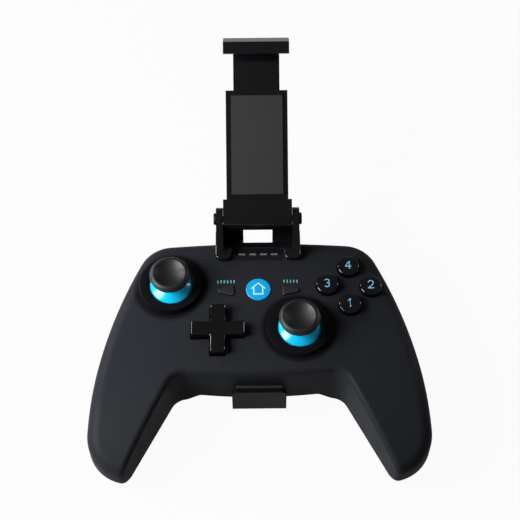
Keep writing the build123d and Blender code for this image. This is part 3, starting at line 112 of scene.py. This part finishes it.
def make_grain_group():
    """Fine moulded grain, as a height for a bump."""
    group, start, end = new_group(
        "moulded_grain",
        [("Grain Size mm", "NodeSocketFloat", 0.25), ("Spread", "NodeSocketFloat", 0.5)],
        [("Height", "NodeSocketFloat")],
    )
    add, link = group.nodes.new, group.links.new
    coords = add("ShaderNodeTexCoord")
    scale = add("ShaderNodeMath")
    scale.operation = "DIVIDE"
    scale.inputs[0].default_value = 1 / mm
    link(start.outputs["Grain Size mm"], scale.inputs[1])
    cells = add("ShaderNodeTexVoronoi")
    cells.feature = "SMOOTH_F1"
    link(coords.outputs["Object"], cells.inputs["Vector"])
    link(scale.outputs[0], cells.inputs["Scale"])
    clouds = add("ShaderNodeTexNoise")
    clouds.inputs["Detail"].default_value = 3.0
    link(coords.outputs["Object"], clouds.inputs["Vector"])
    link(scale.outputs[0], clouds.inputs["Scale"])
    blend = add("ShaderNodeMix")
    link(start.outputs["Spread"], blend.inputs["Factor"])
    link(cells.outputs["Distance"], blend.inputs["A"])
    link(clouds.outputs["Fac"], blend.inputs["B"])
    link(blend.outputs["Result"], end.inputs["Height"])
    return group


def make_handling_group():
    """Where hands have polished or dulled a surface: a slow mask and a finer smear mask."""
    group, start, end = new_group(
        "handling_marks",
        [("Patch Size mm", "NodeSocketFloat", 25.0)],
        [("Patches", "NodeSocketFloat"), ("Smears", "NodeSocketFloat")],
    )
    add, link = group.nodes.new, group.links.new
    coords = add("ShaderNodeTexCoord")
    scale = add("ShaderNodeMath")
    scale.operation = "DIVIDE"
    scale.inputs[0].default_value = 1 / mm
    link(start.outputs["Patch Size mm"], scale.inputs[1])
    patches = add("ShaderNodeTexNoise")
    patches.inputs["Detail"].default_value = 2.0
    patches.inputs["Roughness"].default_value = 0.55
    link(coords.outputs["Object"], patches.inputs["Vector"])
    link(scale.outputs[0], patches.inputs["Scale"])
    stretch = add("ShaderNodeMapping")
    stretch.inputs["Scale"].default_value = (1.0, 3.5, 1.6)
    stretch.inputs["Rotation"].default_value = (0.0, 0.0, radians(24))
    link(coords.outputs["Object"], stretch.inputs["Vector"])
    smears = add("ShaderNodeTexNoise")
    smears.inputs["Detail"].default_value = 5.0
    link(stretch.outputs["Vector"], smears.inputs["Vector"])
    link(scale.outputs[0], smears.inputs["Scale"])
    link(patches.outputs["Fac"], end.inputs["Patches"])
    link(smears.outputs["Fac"], end.inputs["Smears"])
    return group


grain_group = make_grain_group()
handling_group = make_handling_group()
noise_low, noise_high = 0.3, 0.7
gloss_patch_shade = 0.85
metal_patch_shade = 0.7


def place_group(material, group, **values):
    """Puts a shader group in a material, with its input values."""
    node = material.node_tree.nodes.new("ShaderNodeGroup")
    node.node_tree = group
    for label, value in values.items():
        node.inputs[label.replace("_", " ")].default_value = value
    return node


def new_material(name, **sockets):
    """A Principled material whose constant values sit on the shader's own sockets."""
    material = bpy.data.materials.new(name)
    material.use_nodes = True
    shader = material.node_tree.nodes["Principled BSDF"]
    for label, value in sockets.items():
        shader.inputs[label.replace("_", " ")].default_value = value
    return material, shader


def mix_colours(material, mask, low, high):
    """Blends two colours by a mask."""
    mix = material.node_tree.nodes.new("ShaderNodeMix")
    mix.data_type = "RGBA"
    colours = [socket for socket in mix.inputs if socket.type == "RGBA"]
    colours[0].default_value = (*low, 1)
    colours[1].default_value = (*high, 1)
    material.node_tree.links.new(mask, mix.inputs["Factor"])
    return next(socket for socket in mix.outputs if socket.type == "RGBA")


def map_value(material, value, low, high):
    """Spreads the middle of a noise mask over a range of values."""
    node = material.node_tree.nodes.new("ShaderNodeMapRange")
    node.inputs["From Min"].default_value = noise_low
    node.inputs["From Max"].default_value = noise_high
    node.inputs["To Min"].default_value = low
    node.inputs["To Max"].default_value = high
    material.node_tree.links.new(value, node.inputs["Value"])
    return node.outputs["Result"]


def bump(material, shader, height, depth_mm):
    node = material.node_tree.nodes.new("ShaderNodeBump")
    node.inputs["Distance"].default_value = depth_mm * mm
    node.inputs["Strength"].default_value = 1.0
    material.node_tree.links.new(height, node.inputs["Height"])
    material.node_tree.links.new(node.outputs["Normal"], shader.inputs["Normal"])


def moulded(name, dark, light, roughness, grain_mm, depth_mm, patch_mm=30.0, **sockets):
    """Moulded plastic or rubber: grain in a bump, slow colour change and uneven sheen."""
    material, shader = new_material(name, **sockets)
    link = material.node_tree.links.new
    grain = place_group(material, grain_group, Grain_Size_mm=grain_mm)
    marks = place_group(material, handling_group, Patch_Size_mm=patch_mm)
    colour = mix_colours(material, marks.outputs["Patches"], dark, light)
    link(colour, shader.inputs["Base Color"])
    rough = map_value(material, marks.outputs["Smears"], *roughness)
    link(rough, shader.inputs["Roughness"])
    bump(material, shader, grain.outputs["Height"], depth_mm)
    return material


def gloss(name, colour, roughness, patch_mm=12.0, **sockets):
    """Polished plastic: almost even, with faint smears in the sheen."""
    material, shader = new_material(name, **sockets)
    link = material.node_tree.links.new
    marks = place_group(material, handling_group, Patch_Size_mm=patch_mm)
    darker = [gloss_patch_shade * channel for channel in colour]
    shade = mix_colours(material, marks.outputs["Patches"], darker, colour)
    link(shade, shader.inputs["Base Color"])
    rough = map_value(material, marks.outputs["Smears"], *roughness)
    link(rough, shader.inputs["Roughness"])
    return material


def metal(name, colour, roughness, grain_mm=0.4):
    """Bare metal with a fine brushed unevenness."""
    material, shader = new_material(name, Metallic=1.0)
    link = material.node_tree.links.new
    grain = place_group(material, grain_group, Grain_Size_mm=grain_mm, Spread=1.0)
    marks = place_group(material, handling_group, Patch_Size_mm=6.0)
    darker = [metal_patch_shade * channel for channel in colour]
    shade = mix_colours(material, marks.outputs["Patches"], darker, colour)
    link(shade, shader.inputs["Base Color"])
    link(map_value(material, marks.outputs["Smears"], *roughness), shader.inputs["Roughness"])
    bump(material, shader, grain.outputs["Height"], 0.004)
    return material


finish = {
    "shell_black": moulded(
        "soft_touch_shell", (0.0140, 0.0148, 0.0180), (0.0172, 0.0182, 0.0219),
        (0.42, 0.50), 0.22, 0.006, Specular_IOR_Level=0.04),
    "bracket_black": moulded(
        "bracket_plastic", (0.0030, 0.0031, 0.0037), (0.0045, 0.0047, 0.0055),
        (0.11, 0.16), 0.18, 0.001, Specular_IOR_Level=0.45),
    "hook_black": moulded(
        "lower_hook_plastic", (0.0030, 0.0031, 0.0037), (0.0045, 0.0047, 0.0055),
        (0.16, 0.22), 0.18, 0.002, Specular_IOR_Level=0.1),
    "button_gloss": gloss("gloss_black_button", (0.0020, 0.0020, 0.0026), (0.08, 0.12),
                          Specular_IOR_Level=0.5),
    "menu_black": moulded(
        "menu_button_rubber", (0.0060, 0.0062, 0.0070), (0.0095, 0.0098, 0.0108),
        (0.42, 0.52), 0.2, 0.004),
    "window_gloss": gloss("status_window_gloss", (0.0060, 0.0060, 0.0075), (0.12, 0.2)),
    "light_pipe": moulded(
        "light_pipe", (0.11, 0.11, 0.12), (0.16, 0.16, 0.17), (0.3, 0.4), 0.2, 0.002),
    "stick_rubber": moulded(
        "stick_cap_rubber", (0.0040, 0.0042, 0.0050), (0.0060, 0.0063, 0.0075),
        (0.44, 0.52), 0.16, 0.006, Specular_IOR_Level=0.42),
    "dome_blue": gloss("blue_dome", (0.0030, 0.5200, 0.9000), (0.14, 0.2)),
    "home_blue": gloss("home_button_blue", (0.0040, 0.3200, 0.6800), (0.18, 0.26)),
    "pin_black": gloss("hinge_pin_black", (0.0030, 0.0030, 0.0035), (0.34, 0.42),
                       Specular_IOR_Level=0.3),
    "bright_steel": metal("bright_steel", (0.62, 0.62, 0.60), (0.22, 0.38)),
    "sensor_grey": moulded(
        "sensor_grey", (0.09, 0.09, 0.095), (0.13, 0.13, 0.135), (0.4, 0.5), 0.3, 0.004),
    "yoke_white": moulded(
        "white_nylon", (0.60, 0.59, 0.55), (0.70, 0.69, 0.66), (0.35, 0.45), 0.3, 0.003),
    "board_green": moulded(
        "board_green", (0.004, 0.055, 0.022), (0.006, 0.075, 0.03), (0.3, 0.45), 0.6, 0.004),
    "battery_grey": moulded(
        "battery_foil", (0.22, 0.22, 0.23), (0.30, 0.30, 0.31), (0.3, 0.42), 1.4, 0.02),
    "mat_rubber": moulded(
        "switch_mat_rubber", (0.12, 0.12, 0.125), (0.16, 0.16, 0.165), (0.5, 0.6), 0.3, 0.004),
    "pad_rubber": moulded(
        "pad_rubber", (0.0060, 0.0060, 0.0062), (0.0100, 0.0100, 0.0102),
        (0.6, 0.75), 0.35, 0.02),
}


def slot_of_nodes():
    """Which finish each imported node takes, from the record."""
    return {part["node"]: part["material_slot"] for part in frame["record"]["subparts"]}


node_slots = slot_of_nodes()
for node_name, node in frame["nodes"].items():
    node.data.materials.clear()
    node.data.materials.append(finish[node_slots[node_name]])
frame["nodes"]["lower_hook"].data.materials[0] = finish["hook_black"]

# The raised collars round the sticks, with painted shade: the shell's colour darkened there

# painted shade: the dark colour laid on the collars
collar_shade_colour = (0.0045, 0.0046, 0.0054)
collar_inner_radius = 15.5 * mm
collar_outer_radius = 18.5 * mm
collar_lowest = 26.0 * mm


def make_collar_shade_group():
    """Mask of the painted shade on the two collars on the upper face, soft at their outer edge.
    """
    group, _, end = new_group("stick_collar_shade", [], [("Collar Shade", "NodeSocketFloat")])
    add, link = group.nodes.new, group.links.new
    coords = add("ShaderNodeTexCoord")
    plan = add("ShaderNodeVectorMath")
    plan.operation = "MULTIPLY"
    plan.inputs[1].default_value = (1, 1, 0)
    link(coords.outputs["Object"], plan.inputs[0])
    masks = []
    for side in ("left", "right"):
        low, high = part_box(side + "_stick_cap")
        reach = add("ShaderNodeVectorMath")
        reach.operation = "DISTANCE"
        reach.inputs[1].default_value = ((low[0] + high[0]) / 2, (low[1] + high[1]) / 2, 0)
        link(plan.outputs["Vector"], reach.inputs[0])
        fade = add("ShaderNodeMapRange")
        fade.interpolation_type = "SMOOTHSTEP"
        fade.inputs["From Min"].default_value = collar_inner_radius
        fade.inputs["From Max"].default_value = collar_outer_radius
        fade.inputs["To Min"].default_value = 1.0
        fade.inputs["To Max"].default_value = 0.0
        link(reach.outputs["Value"], fade.inputs["Value"])
        masks.append(fade.outputs["Result"])
    both = add("ShaderNodeMath")
    both.operation = "MAXIMUM"
    link(masks[0], both.inputs[0])
    link(masks[1], both.inputs[1])
    level = add("ShaderNodeSeparateXYZ")
    link(coords.outputs["Object"], level.inputs["Vector"])
    upper = add("ShaderNodeMath")
    upper.operation = "GREATER_THAN"
    upper.inputs[1].default_value = collar_lowest
    link(level.outputs["Z"], upper.inputs[0])
    on_face = add("ShaderNodeMath")
    on_face.operation = "MULTIPLY"
    link(both.outputs[0], on_face.inputs[0])
    link(upper.outputs[0], on_face.inputs[1])
    link(on_face.outputs[0], end.inputs["Collar Shade"])
    return group


def paint_collar_shade(material):
    """Lays the painted shade of the collars over a material's own colour."""
    shader = material.node_tree.nodes["Principled BSDF"]
    face_colour = shader.inputs["Base Color"].links[0].from_socket
    collars = place_group(material, make_collar_shade_group())
    # painted shade mixed over the shell's own colour on the collars
    shade = mix_colours(material, collars.outputs["Collar Shade"], collar_shade_colour, collar_shade_colour)
    lower = next(socket for socket in shade.node.inputs if socket.type == "RGBA")
    material.node_tree.links.new(face_colour, lower)
    material.node_tree.links.new(shade, shader.inputs["Base Color"])


paint_collar_shade(finish["shell_black"])

# Softened edges, which catch the light on the bracket's mouldings
edge_widths_mm = {
    "clip_frame": 0.45, "phone_cradle": 0.45, "upper_jaw": 0.4, "lower_hook": 0.5,
    "cradle_cover": 0.2, "hook_cover": 0.2,
}
edge_angle = radians(40)
edge_segments = 3
weld_distance = 0.002 * mm


def soften_edges(node, width_mm):
    """Joins a moulding's faces and rounds its sharp edges."""
    weld = node.modifiers.new("joined_faces", "WELD")
    weld.merge_threshold = weld_distance
    bevel = node.modifiers.new("soft_edges", "BEVEL")
    bevel.width = width_mm * mm
    bevel.segments = edge_segments
    bevel.limit_method = "ANGLE"
    bevel.angle_limit = edge_angle
    bevel.harden_normals = True


for node_name, width in edge_widths_mm.items():
    soften_edges(frame["nodes"][node_name], width)


# The hook's coil spring, as a copy of its own on the housing


def make_hook_coil():
    """The hook's coil spring between its peg and the slider, copied into a piece of its own."""
    spring = frame["nodes"]["hook_spring"]
    mesh = spring.data.copy()
    coil = add_object("hook_coil", mesh, "housing", ["hook_spring"])
    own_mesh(coil)


make_hook_coil()


# Cross recesses in the heads of the screws, as shares of the head's radius

recess_reach = 0.62
recess_width = 0.24
recess_depth = 0.55
head_face_depth = 0.01 * mm
same_point = 0.001 * mm


def screw_parts(shape):
    """The separate screws of one mesh, as lists of vertices."""
    seen = set()
    parts = []
    for first in shape.verts:
        if first in seen:
            continue
        seen.add(first)
        part, stack = [], [first]
        while stack:
            vertex = stack.pop()
            part.append(vertex)
            for edge in vertex.link_edges:
                other = edge.other_vert(vertex)
                if other not in seen:
                    seen.add(other)
                    stack.append(other)
        parts.append(part)
    return parts


def head_of(points, outward):
    """Centre of a screw's head face and the head's radius."""
    top = max(point.dot(outward) for point in points)
    face = [point for point in points if top - point.dot(outward) < head_face_depth]
    centre = sum(face, Vector()) / len(face)
    return centre, max((point - centre).length for point in face)


def cross_cutter(shape, centre, radius, outward):
    """Two crossed bars that reach into the head from outside."""
    across = outward.orthogonal().normalized()
    for direction in (across, outward.cross(across)):
        side = outward.cross(direction)
        sizes = (recess_reach * radius, recess_width * radius / 2, recess_depth * radius)
        corners = []
        for along in (-1, 1):
            for sideways in (-1, 1):
                for deep in (-1, 1):
                    corners.append(shape.verts.new(
                        centre + direction * sizes[0] * along + side * sizes[1] * sideways
                        + outward * sizes[2] * deep))
        for ring in ((0, 1, 3, 2), (4, 6, 7, 5), (0, 4, 5, 1), (2, 3, 7, 6), (0, 2, 6, 4),
                     (1, 5, 7, 3)):
            shape.faces.new([corners[index] for index in ring])


def cut_screw_heads(name, body, outward):
    """A copy of one set of screws with crosses cut in their heads."""
    outward = Vector(outward).normalized()
    node = frame["nodes"][name]
    screws = bmesh.new()
    screws.from_mesh(node.data)
    screws.transform(node.matrix_world)
    bmesh.ops.remove_doubles(screws, verts=screws.verts, dist=same_point)
    cutter = bmesh.new()
    for part in screw_parts(screws):
        centre, radius = head_of([vertex.co for vertex in part], outward)
        cross_cutter(cutter, centre, radius, outward)
    bmesh.ops.recalc_face_normals(cutter, faces=cutter.faces)
    meshes = []
    for label, shape in (("blank", screws), ("cutter", cutter)):
        mesh = bpy.data.meshes.new(name + "_" + label)
        shape.to_mesh(mesh)
        shape.free()
        meshes.append(mesh)
    blank = bpy.data.objects.new(name + "_blank", meshes[0])
    tool = bpy.data.objects.new(name + "_cutter", meshes[1])
    for temporary in (blank, tool):
        bpy.context.scene.collection.objects.link(temporary)
    cut = blank.modifiers.new("crosses", "BOOLEAN")
    cut.operation = "DIFFERENCE"
    cut.solver = "EXACT"
    cut.use_self = True
    cut.object = tool
    graph = bpy.context.evaluated_depsgraph_get()
    finished = bpy.data.meshes.new_from_object(blank.evaluated_get(graph))
    for temporary in (blank, tool):
        bpy.data.objects.remove(temporary)
    finished.materials.clear()
    finished.materials.append(finish[node_slots[name]])
    return add_object(name + "_cross", finished, body, [name])


def plate_normal():
    """Outward direction of the cradle's cover, from its largest faces."""
    node = frame["nodes"]["cradle_cover"]
    largest = max(node.data.polygons, key=lambda face: face.area)
    normal = largest.normal.copy()
    return normal if normal.z < 0 else -normal


cut_screw_heads("shell_screws", "housing", (0, 0, -1))
cut_screw_heads("hook_screws", "housing", (0, 0, -1))
cut_screw_heads("cradle_screws", "cradle", plate_normal())


# Printed marks: thin closed films laid on the surface below them

print_rise = 0.04 * mm
print_depth = 0.06 * mm
print_step = 0.4 * mm
cap_points = 6
mitre_limit = 0.4
meeting_gap = 1e-7


def inked(name, colour):
    """Printed ink, with a little of the surface's grain."""
    thinner = [0.9 * channel for channel in colour]
    return moulded(name, thinner, colour, (0.3, 0.4), 0.2, 0.002, patch_mm=10.0)


digit_ink = inked("digit_ink", (0.17, 0.42, 0.66))
caption_ink = inked("caption_ink", (0.10, 0.40, 0.43))
house_ink = inked("house_ink", (0.42, 0.80, 0.93))


def arc(centre, radius, start, end, count=14):
    """Points of an arc in millimetres, with its angles in degrees."""
    points = []
    for step in range(count + 1):
        angle = radians(start + (end - start) * step / count)
        points.append((centre[0] + radius * cos(angle), centre[1] + radius * sin(angle)))
    return points


def ribbon(points, width):
    """Outline of a line of even width with round ends and mitred corners."""
    path = [Vector(point) for point in points]
    half = width / 2
    left, right = [], []
    for index, point in enumerate(path):
        before = (point - path[index - 1]).normalized() if index else None
        after = (path[index + 1] - point).normalized() if index + 1 < len(path) else None
        along = ((before or after) + (after or before)).normalized()
        across = Vector((-along.y, along.x))
        reach = half / max(mitre_limit, along.dot(after or before))
        left.append(point + across * reach)
        right.append(point - across * reach)

    def cap(centre, direction):
        turn = Vector((direction.y, -direction.x)) * half
        angles = [pi * step / cap_points for step in range(1, cap_points)]
        return [centre + turn * cos(angle) + direction * half * sin(angle) for angle in angles]

    end_cap = cap(path[-1], (path[-1] - path[-2]).normalized())
    start_cap = cap(path[0], (path[0] - path[1]).normalized())
    return right + end_cap + left[::-1] + start_cap


def inside(point, outline):
    """Whether a plan point lies in a closed outline."""
    result = False
    for index, end in enumerate(outline):
        start = outline[index - 1]
        if (start.y > point.y) != (end.y > point.y):
            share = (point.y - start.y) / (end.y - start.y)
            if point.x < start.x + share * (end.x - start.x):
                result = not result
    return result


def surface_of(node_names):
    """Search tree of the nodes' outer surfaces in the frame's coordinates."""
    points, faces = [], []
    for node_name in node_names:
        node = frame["nodes"][node_name]
        first = len(points)
        points += [node.matrix_world @ vertex.co for vertex in node.data.vertices]
        faces += [[first + corner for corner in face.vertices] for face in node.data.polygons]
    return BVHTree.FromPolygons(points, faces)


def printed(name, outlines, place, node_names, body, ink):
    """Lays outlines, drawn in millimetres round a plan point, on the nodes' top surface."""
    shapes = [[Vector((x, y)) * mm for x, y in outline] for outline in outlines]
    points = [point for shape in shapes for point in shape]
    faces, first = [], 0
    for shape in shapes:
        faces.append(list(range(first, first + len(shape))))
        first += len(shape)
    low = Vector((min(p.x for p in points), min(p.y for p in points)))
    high = Vector((max(p.x for p in points), max(p.y for p in points)))
    for column in range(int((high.x - low.x) / print_step)):
        for row in range(int((high.y - low.y) / print_step)):
            extra = low + Vector((column + 0.5, row + 0.5)) * print_step
            if any(inside(extra, shape) for shape in shapes):
                points.append(extra)
    flat, _, triangles, *_ = delaunay_2d_cdt(points, [], faces, 1, meeting_gap)
    ground = surface_of(node_names)
    above = cad_high.z + 1
    tops, bottoms = [], []
    film = bmesh.new()
    for point in flat:
        start = Vector((place.x + point.x, place.y + point.y, above))
        hit = ground.ray_cast(start, Vector((0, 0, -1)))[0]
        tops.append(film.verts.new(hit + Vector((0, 0, print_rise))))
        bottoms.append(film.verts.new(hit - Vector((0, 0, print_depth))))
    covered = [
        corners for corners in triangles
        if any(inside(sum((flat[corner] for corner in corners), Vector((0, 0))) / 3, shape)
               for shape in shapes)
    ]
    for corners in covered:
        film.faces.new([tops[corner] for corner in corners])
        film.faces.new([bottoms[corner] for corner in reversed(corners)])
    rim = [edge for edge in film.edges if len(edge.link_faces) == 1]
    partner = {**dict(zip(tops, bottoms)), **dict(zip(bottoms, tops))}
    upper = set(tops)
    for edge in [edge for edge in rim if edge.verts[0] in upper]:
        loop = edge.link_loops[0]
        start, end = loop.vert, loop.link_loop_next.vert
        film.faces.new([end, start, partner[start], partner[end]])
    loose_ends = [vertex for vertex in film.verts if not vertex.link_faces]
    bmesh.ops.delete(film, geom=loose_ends, context="VERTS")
    bmesh.ops.recalc_face_normals(film, faces=film.faces)
    mesh = bpy.data.meshes.new(name)
    film.to_mesh(mesh)
    film.free()
    mesh.materials.append(ink)
    return add_object(name, mesh, body)


digit_stroke = 0.52
digit_paths = {
    "bottom_button": [[(0.2, -1.95), (0.2, 1.9)], [(0.15, 1.85), (-0.75, 1.15)]],
    "right_button": [
        arc((0, 0.8), 1.15, 165, -38), [(0.9, 0.1), (-1.1, -1.85)], [(-1.15, -1.9), (1.2, -1.9)],
    ],
    "left_button": [arc((-0.1, 0.95), 1.0, 145, -88), arc((-0.1, -0.95), 1.05, 88, -145)],
    "top_button": [
        [(0.55, -1.95), (0.55, 1.9)], [(0.5, 1.85), (-1.3, -0.8)], [(-1.3, -0.85), (1.3, -0.85)],
    ],
}


def plan_centre(node_name):
    """Middle of a node's box, whose plan place a mark is drawn round."""
    low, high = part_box(node_name)
    return (Vector(low) + Vector(high)) / 2


for button, paths in digit_paths.items():
    outlines = [ribbon(path, digit_stroke) for path in paths]
    printed(button + "_digit", outlines, plan_centre(button), [button], button,
            digit_ink)

house_stroke = 0.6
roof = ribbon([(-3.0, 0.35), (0, 3.1), (3.0, 0.35)], house_stroke)
walls = ribbon([(-2.05, 0.9), (-2.05, -2.65), (2.05, -2.65), (2.05, 0.9)], house_stroke)
printed("house_mark", [roof, walls], plan_centre("home_button"), ["home_button"], "home_button",
        house_ink)

tick_height = 1.7
tick_width = 0.55
tick_pitch = 1.5
caption_offset = 4.9 * mm
for button, count in (("select_button", 6), ("start_button", 5)):
    half = tick_height / 2 - tick_width / 2
    places = [(index - (count - 1) / 2) * tick_pitch for index in range(count)]
    ticks = [ribbon([(x, -half), (x, half)], tick_width) for x in places]
    centre = plan_centre(button)
    centre.y += caption_offset
    printed(button + "_caption", ticks, centre, ["front_shell"], "housing",
            caption_ink)


# Camera

def aim(location, forward, roll):
    """Rotation of a camera that looks forward, rolled about its own line of sight."""
    turn = forward.to_track_quat("-Z", "Y").to_matrix()
    return (turn @ Matrix.Rotation(radians(roll), 3, "Z")).to_euler()


camera_data = bpy.data.cameras.new("camera")
camera_data.sensor_fit = "HORIZONTAL"
camera_data.sensor_width = sensor_width
camera_data.lens = focal_pixels * sensor_width / photo_width
camera_data.clip_start = 0.01
camera_data.clip_end = 50.0
camera = bpy.data.objects.new("camera", camera_data)
bpy.context.scene.collection.objects.link(camera)
camera.location = home_place + camera_offset
tilt = radians(camera_elevation)
camera.rotation_euler = aim(camera.location, Vector((0, cos(tilt), -sin(tilt))), camera_roll)
bpy.context.scene.camera = camera

# Floor, world and lamps

floor_half = 6.0
floor_level = -0.2 * mm
world_strength = 0.085
floor_white = 0.40
backdrop_share = 0.95
floor_reflected = 0.3
sky_reflected = 0.06


def seen_directly(owner, reflected_share):
    """1 for rays from the camera or through glass, less for a reflection, else 0."""
    add, link = owner.node_tree.nodes.new, owner.node_tree.links.new
    rays = add("ShaderNodeLightPath")
    reflected = add("ShaderNodeMath")
    reflected.operation = "MULTIPLY"
    reflected.inputs[1].default_value = reflected_share
    link(rays.outputs["Is Glossy Ray"], reflected.inputs[0])
    total = reflected.outputs[0]
    for label in ("Is Camera Ray", "Is Transmission Ray"):
        either = add("ShaderNodeMath")
        either.operation = "MAXIMUM"
        link(total, either.inputs[0])
        link(rays.outputs[label], either.inputs[1])
        total = either.outputs[0]
    return total


def make_floor():
    """A table that is seen as nearly plain white, with the object's shadow on it."""
    shape = bmesh.new()
    bmesh.ops.create_grid(shape, x_segments=2, y_segments=2, size=floor_half)
    mesh = bpy.data.meshes.new("floor")
    shape.to_mesh(mesh)
    shape.free()
    floor = add_object("floor", mesh)
    floor.location.z = floor_level
    material, shader = new_material("floor_white", Roughness=0.9)
    shader.inputs["Base Color"].default_value = (floor_white, floor_white, floor_white, 1)
    shader.inputs["Specular IOR Level"].default_value = 0.0
    add, link = material.node_tree.nodes.new, material.node_tree.links.new
    glow = add("ShaderNodeEmission")
    glow.inputs["Strength"].default_value = 1.0
    seen = add("ShaderNodeMath")
    seen.operation = "MULTIPLY"
    seen.inputs[1].default_value = backdrop_share
    link(seen_directly(material, floor_reflected), seen.inputs[0])
    mix = add("ShaderNodeMixShader")
    link(seen.outputs[0], mix.inputs[0])
    link(shader.outputs[0], mix.inputs[1])
    link(glow.outputs[0], mix.inputs[2])
    link(mix.outputs[0], material.node_tree.nodes["Material Output"].inputs["Surface"])
    mesh.materials.append(material)


def make_world(strength):
    """A dim even world, white where the camera looks straight at it or through glass, and a
    little brighter in reflections.
    """
    world = bpy.data.worlds.new("studio")
    bpy.context.scene.world = world
    world.use_nodes = True
    add, link = world.node_tree.nodes.new, world.node_tree.links.new
    dim = world.node_tree.nodes["Background"]
    dim.inputs["Color"].default_value = (1, 1, 1, 1)
    dim.inputs["Strength"].default_value = strength
    bright = add("ShaderNodeBackground")
    bright.inputs["Color"].default_value = (1, 1, 1, 1)
    bright.inputs["Strength"].default_value = 1.0
    mix = add("ShaderNodeMixShader")
    link(seen_directly(world, sky_reflected), mix.inputs[0])
    link(dim.outputs[0], mix.inputs[1])
    link(bright.outputs[0], mix.inputs[2])
    link(mix.outputs[0], world.node_tree.nodes["World Output"].inputs["Surface"])


def lamp(name, place, target, width, height, power):
    """A rectangular softbox at a place, turned towards a target."""
    data = bpy.data.lights.new(name, "AREA")
    data.shape = "RECTANGLE"
    data.size = width
    data.size_y = height
    data.energy = power
    light = bpy.data.objects.new(name, data)
    bpy.context.scene.collection.objects.link(light)
    light.location = place
    forward = Vector(target) - Vector(place)
    light.rotation_euler = forward.to_track_quat("-Z", "Y").to_euler()


make_floor()
make_world(world_strength)
lamp("key_softbox", (-0.43, -0.10, 0.34), (0, 0, 0.03), 0.28, 0.34, 5.6)
lamp("left_strip", (-0.62, 0.42, 0.34), (0, 0, 0.03), 0.12, 0.5, 3.0)
lamp("right_strip", (0.75, 0.42, 0.26), (0, 0, 0.03), 0.12, 0.5, 1.2)

bpy.context.scene.view_settings.view_transform = "Standard"
